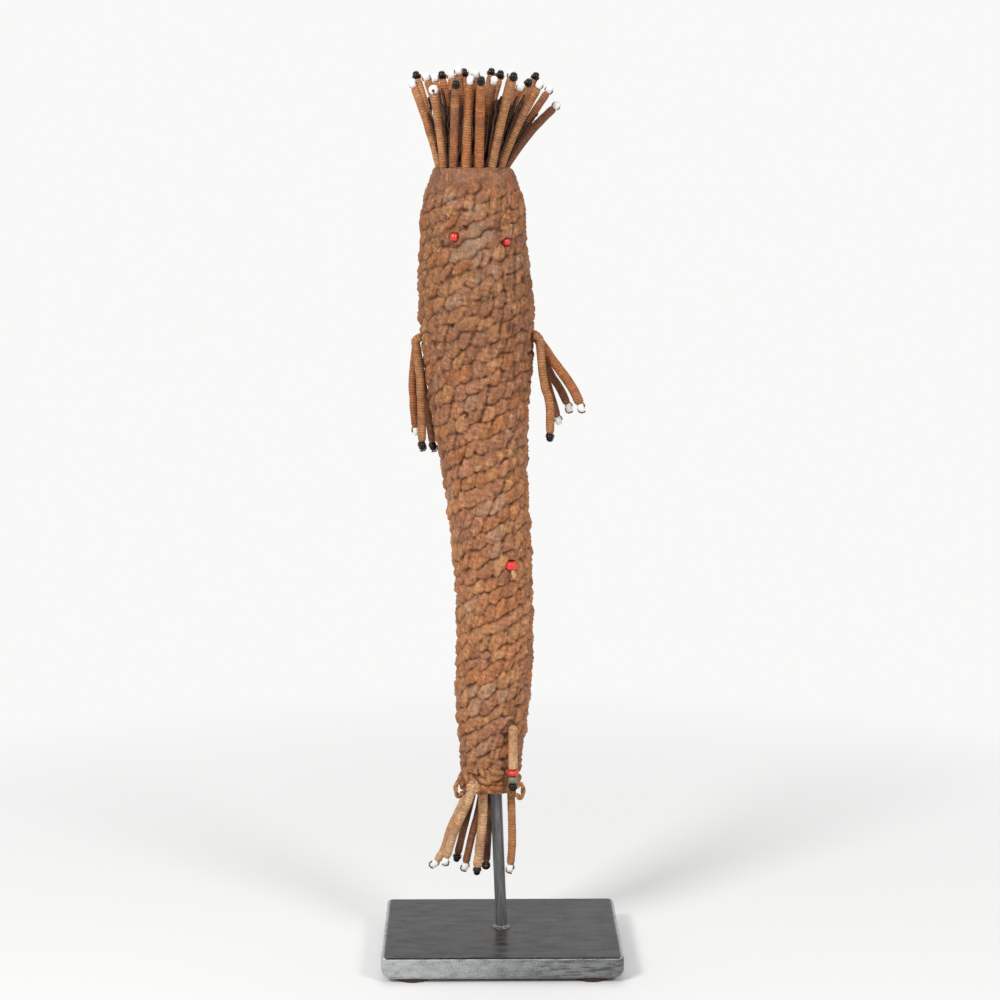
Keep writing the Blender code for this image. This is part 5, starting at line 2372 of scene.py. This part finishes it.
@dataclass
class Studio:
    """A pale floor that fades into a plain backdrop, soft lamps and the photograph's camera."""

    aim: Triple = (0.0, 0.0, 0.18)
    floor_radii: tuple[float, ...] = (0.02, 0.5, 1.0, 3.0, 14.0)
    fade_start: float = 0.14
    fade_end: float = 0.50
    floor_colour: Colour = (0.93, 0.93, 0.925)
    backdrop: Colour = (0.945, 0.945, 0.94)
    direct_rays: tuple[str, ...] = ("Is Camera Ray", "Is Glossy Ray", "Is Transmission Ray")
    lamps: tuple[Lamp, ...] = (
        Lamp("lamp_left", (-0.72, -0.90, 0.98), 0.34, 10.6),
        Lamp("lamp_right", (0.72, -0.85, 0.86), 0.34, 5.4),
        Lamp("lamp_top", (0.0, 0.35, 1.30), 0.80, 4.0),
    )

    def build_floor(self) -> None:
        """The floor: a plain disc whose far part shows the backdrop's own tone."""
        ring = level_circle(96)
        points = np.array([ring * radius for radius in self.floor_radii])[:, ::-1]
        material = bpy.data.materials.new("finish_floor")
        wiring = Wiring(material)
        wiring.surface(Base_Color=(*self.floor_colour, 1.0), Roughness=0.9, Specular_IOR_Level=0.0)
        glow = wiring.add("Emission", {"Color": (*self.backdrop, 1.0)}).outputs[0]
        outer = wiring.span(wiring.distance(), self.fade_start, self.fade_end)
        share = wiring.sums("MULTIPLY", self.seen_directly(wiring), outer)
        blend = wiring.add("MixShader", {0: share, 1: wiring.shader.outputs[0], 2: glow})
        wiring.put(wiring.nodes["Material Output"].inputs["Surface"], blend.outputs[0])
        make_object("floor", [Skin(points, open_end=True)], material)

    def seen_directly(self, wiring: Wiring) -> Socket:
        """Tells where the eye, a gloss or clear glass sees the backdrop.

        Args:
            wiring: The wiring of the floor or the world.

        Returns:
            One where it is seen, and zero elsewhere.
        """
        first, *others = self.direct_rays
        rays = wiring.add("LightPath", {}).outputs
        direct = rays[first]
        for ray in others:
            direct = wiring.sums("MAXIMUM", direct, rays[ray])
        return direct

    def build_sky(self) -> None:
        """The world: even white light, with the backdrop's tone where it is seen directly."""
        world = bpy.data.worlds.new("studio")
        wiring = Wiring(world)
        wiring.nodes.clear()
        white = {"Color": (1.0, 1.0, 1.0, 1.0), "Strength": 0.36}
        light = wiring.add("Background", white).outputs[0]
        drop = wiring.add("Background", {"Color": (*self.backdrop, 1.0)}).outputs[0]
        mix = wiring.add("MixShader", {0: self.seen_directly(wiring), 1: light, 2: drop})
        wiring.add("OutputWorld", {"Surface": mix.outputs[0]})
        bpy.context.scene.world = world

    def build_lamps(self) -> None:
        """The soft square lamps, each turned to the doll."""
        for lamp in self.lamps:
            data = bpy.data.lights.new(lamp.name, "AREA")
            data.shape = "SQUARE"
            data.size = lamp.size
            data.energy = lamp.power
            made = bpy.data.objects.new(lamp.name, data)
            made.location = lamp.place
            way = Vector(self.aim) - Vector(lamp.place)
            made.rotation_euler = way.to_track_quat("-Z", "Y").to_euler()
            bpy.context.scene.collection.objects.link(made)

    def build(self) -> None:
        """Builds the floor, the world, the lamps and the camera."""
        self.build_floor()
        self.build_sky()
        self.build_lamps()
        CAMERA.build()
        bpy.context.scene.view_settings.view_transform = "Standard"


def main() -> None:
    """Builds every sub-assembly in order, then the studio."""
    logging.basicConfig(level=logging.INFO, format="%(message)s")
    body = BodyShape()
    assemblies = (
        Stand(),
        HitchedCover(body),
        RodBore(),
        SunkBeads(body),
        Hair(),
        GapShadeFibre(),
        Limbs(body),
        Pendant(),
        FootKnots(body),
        Studio(),
    )
    for assembly in assemblies:
        assembly.build()
        LOG.info("%s is built", type(assembly).__name__)


if __name__ == "__main__":
    main()
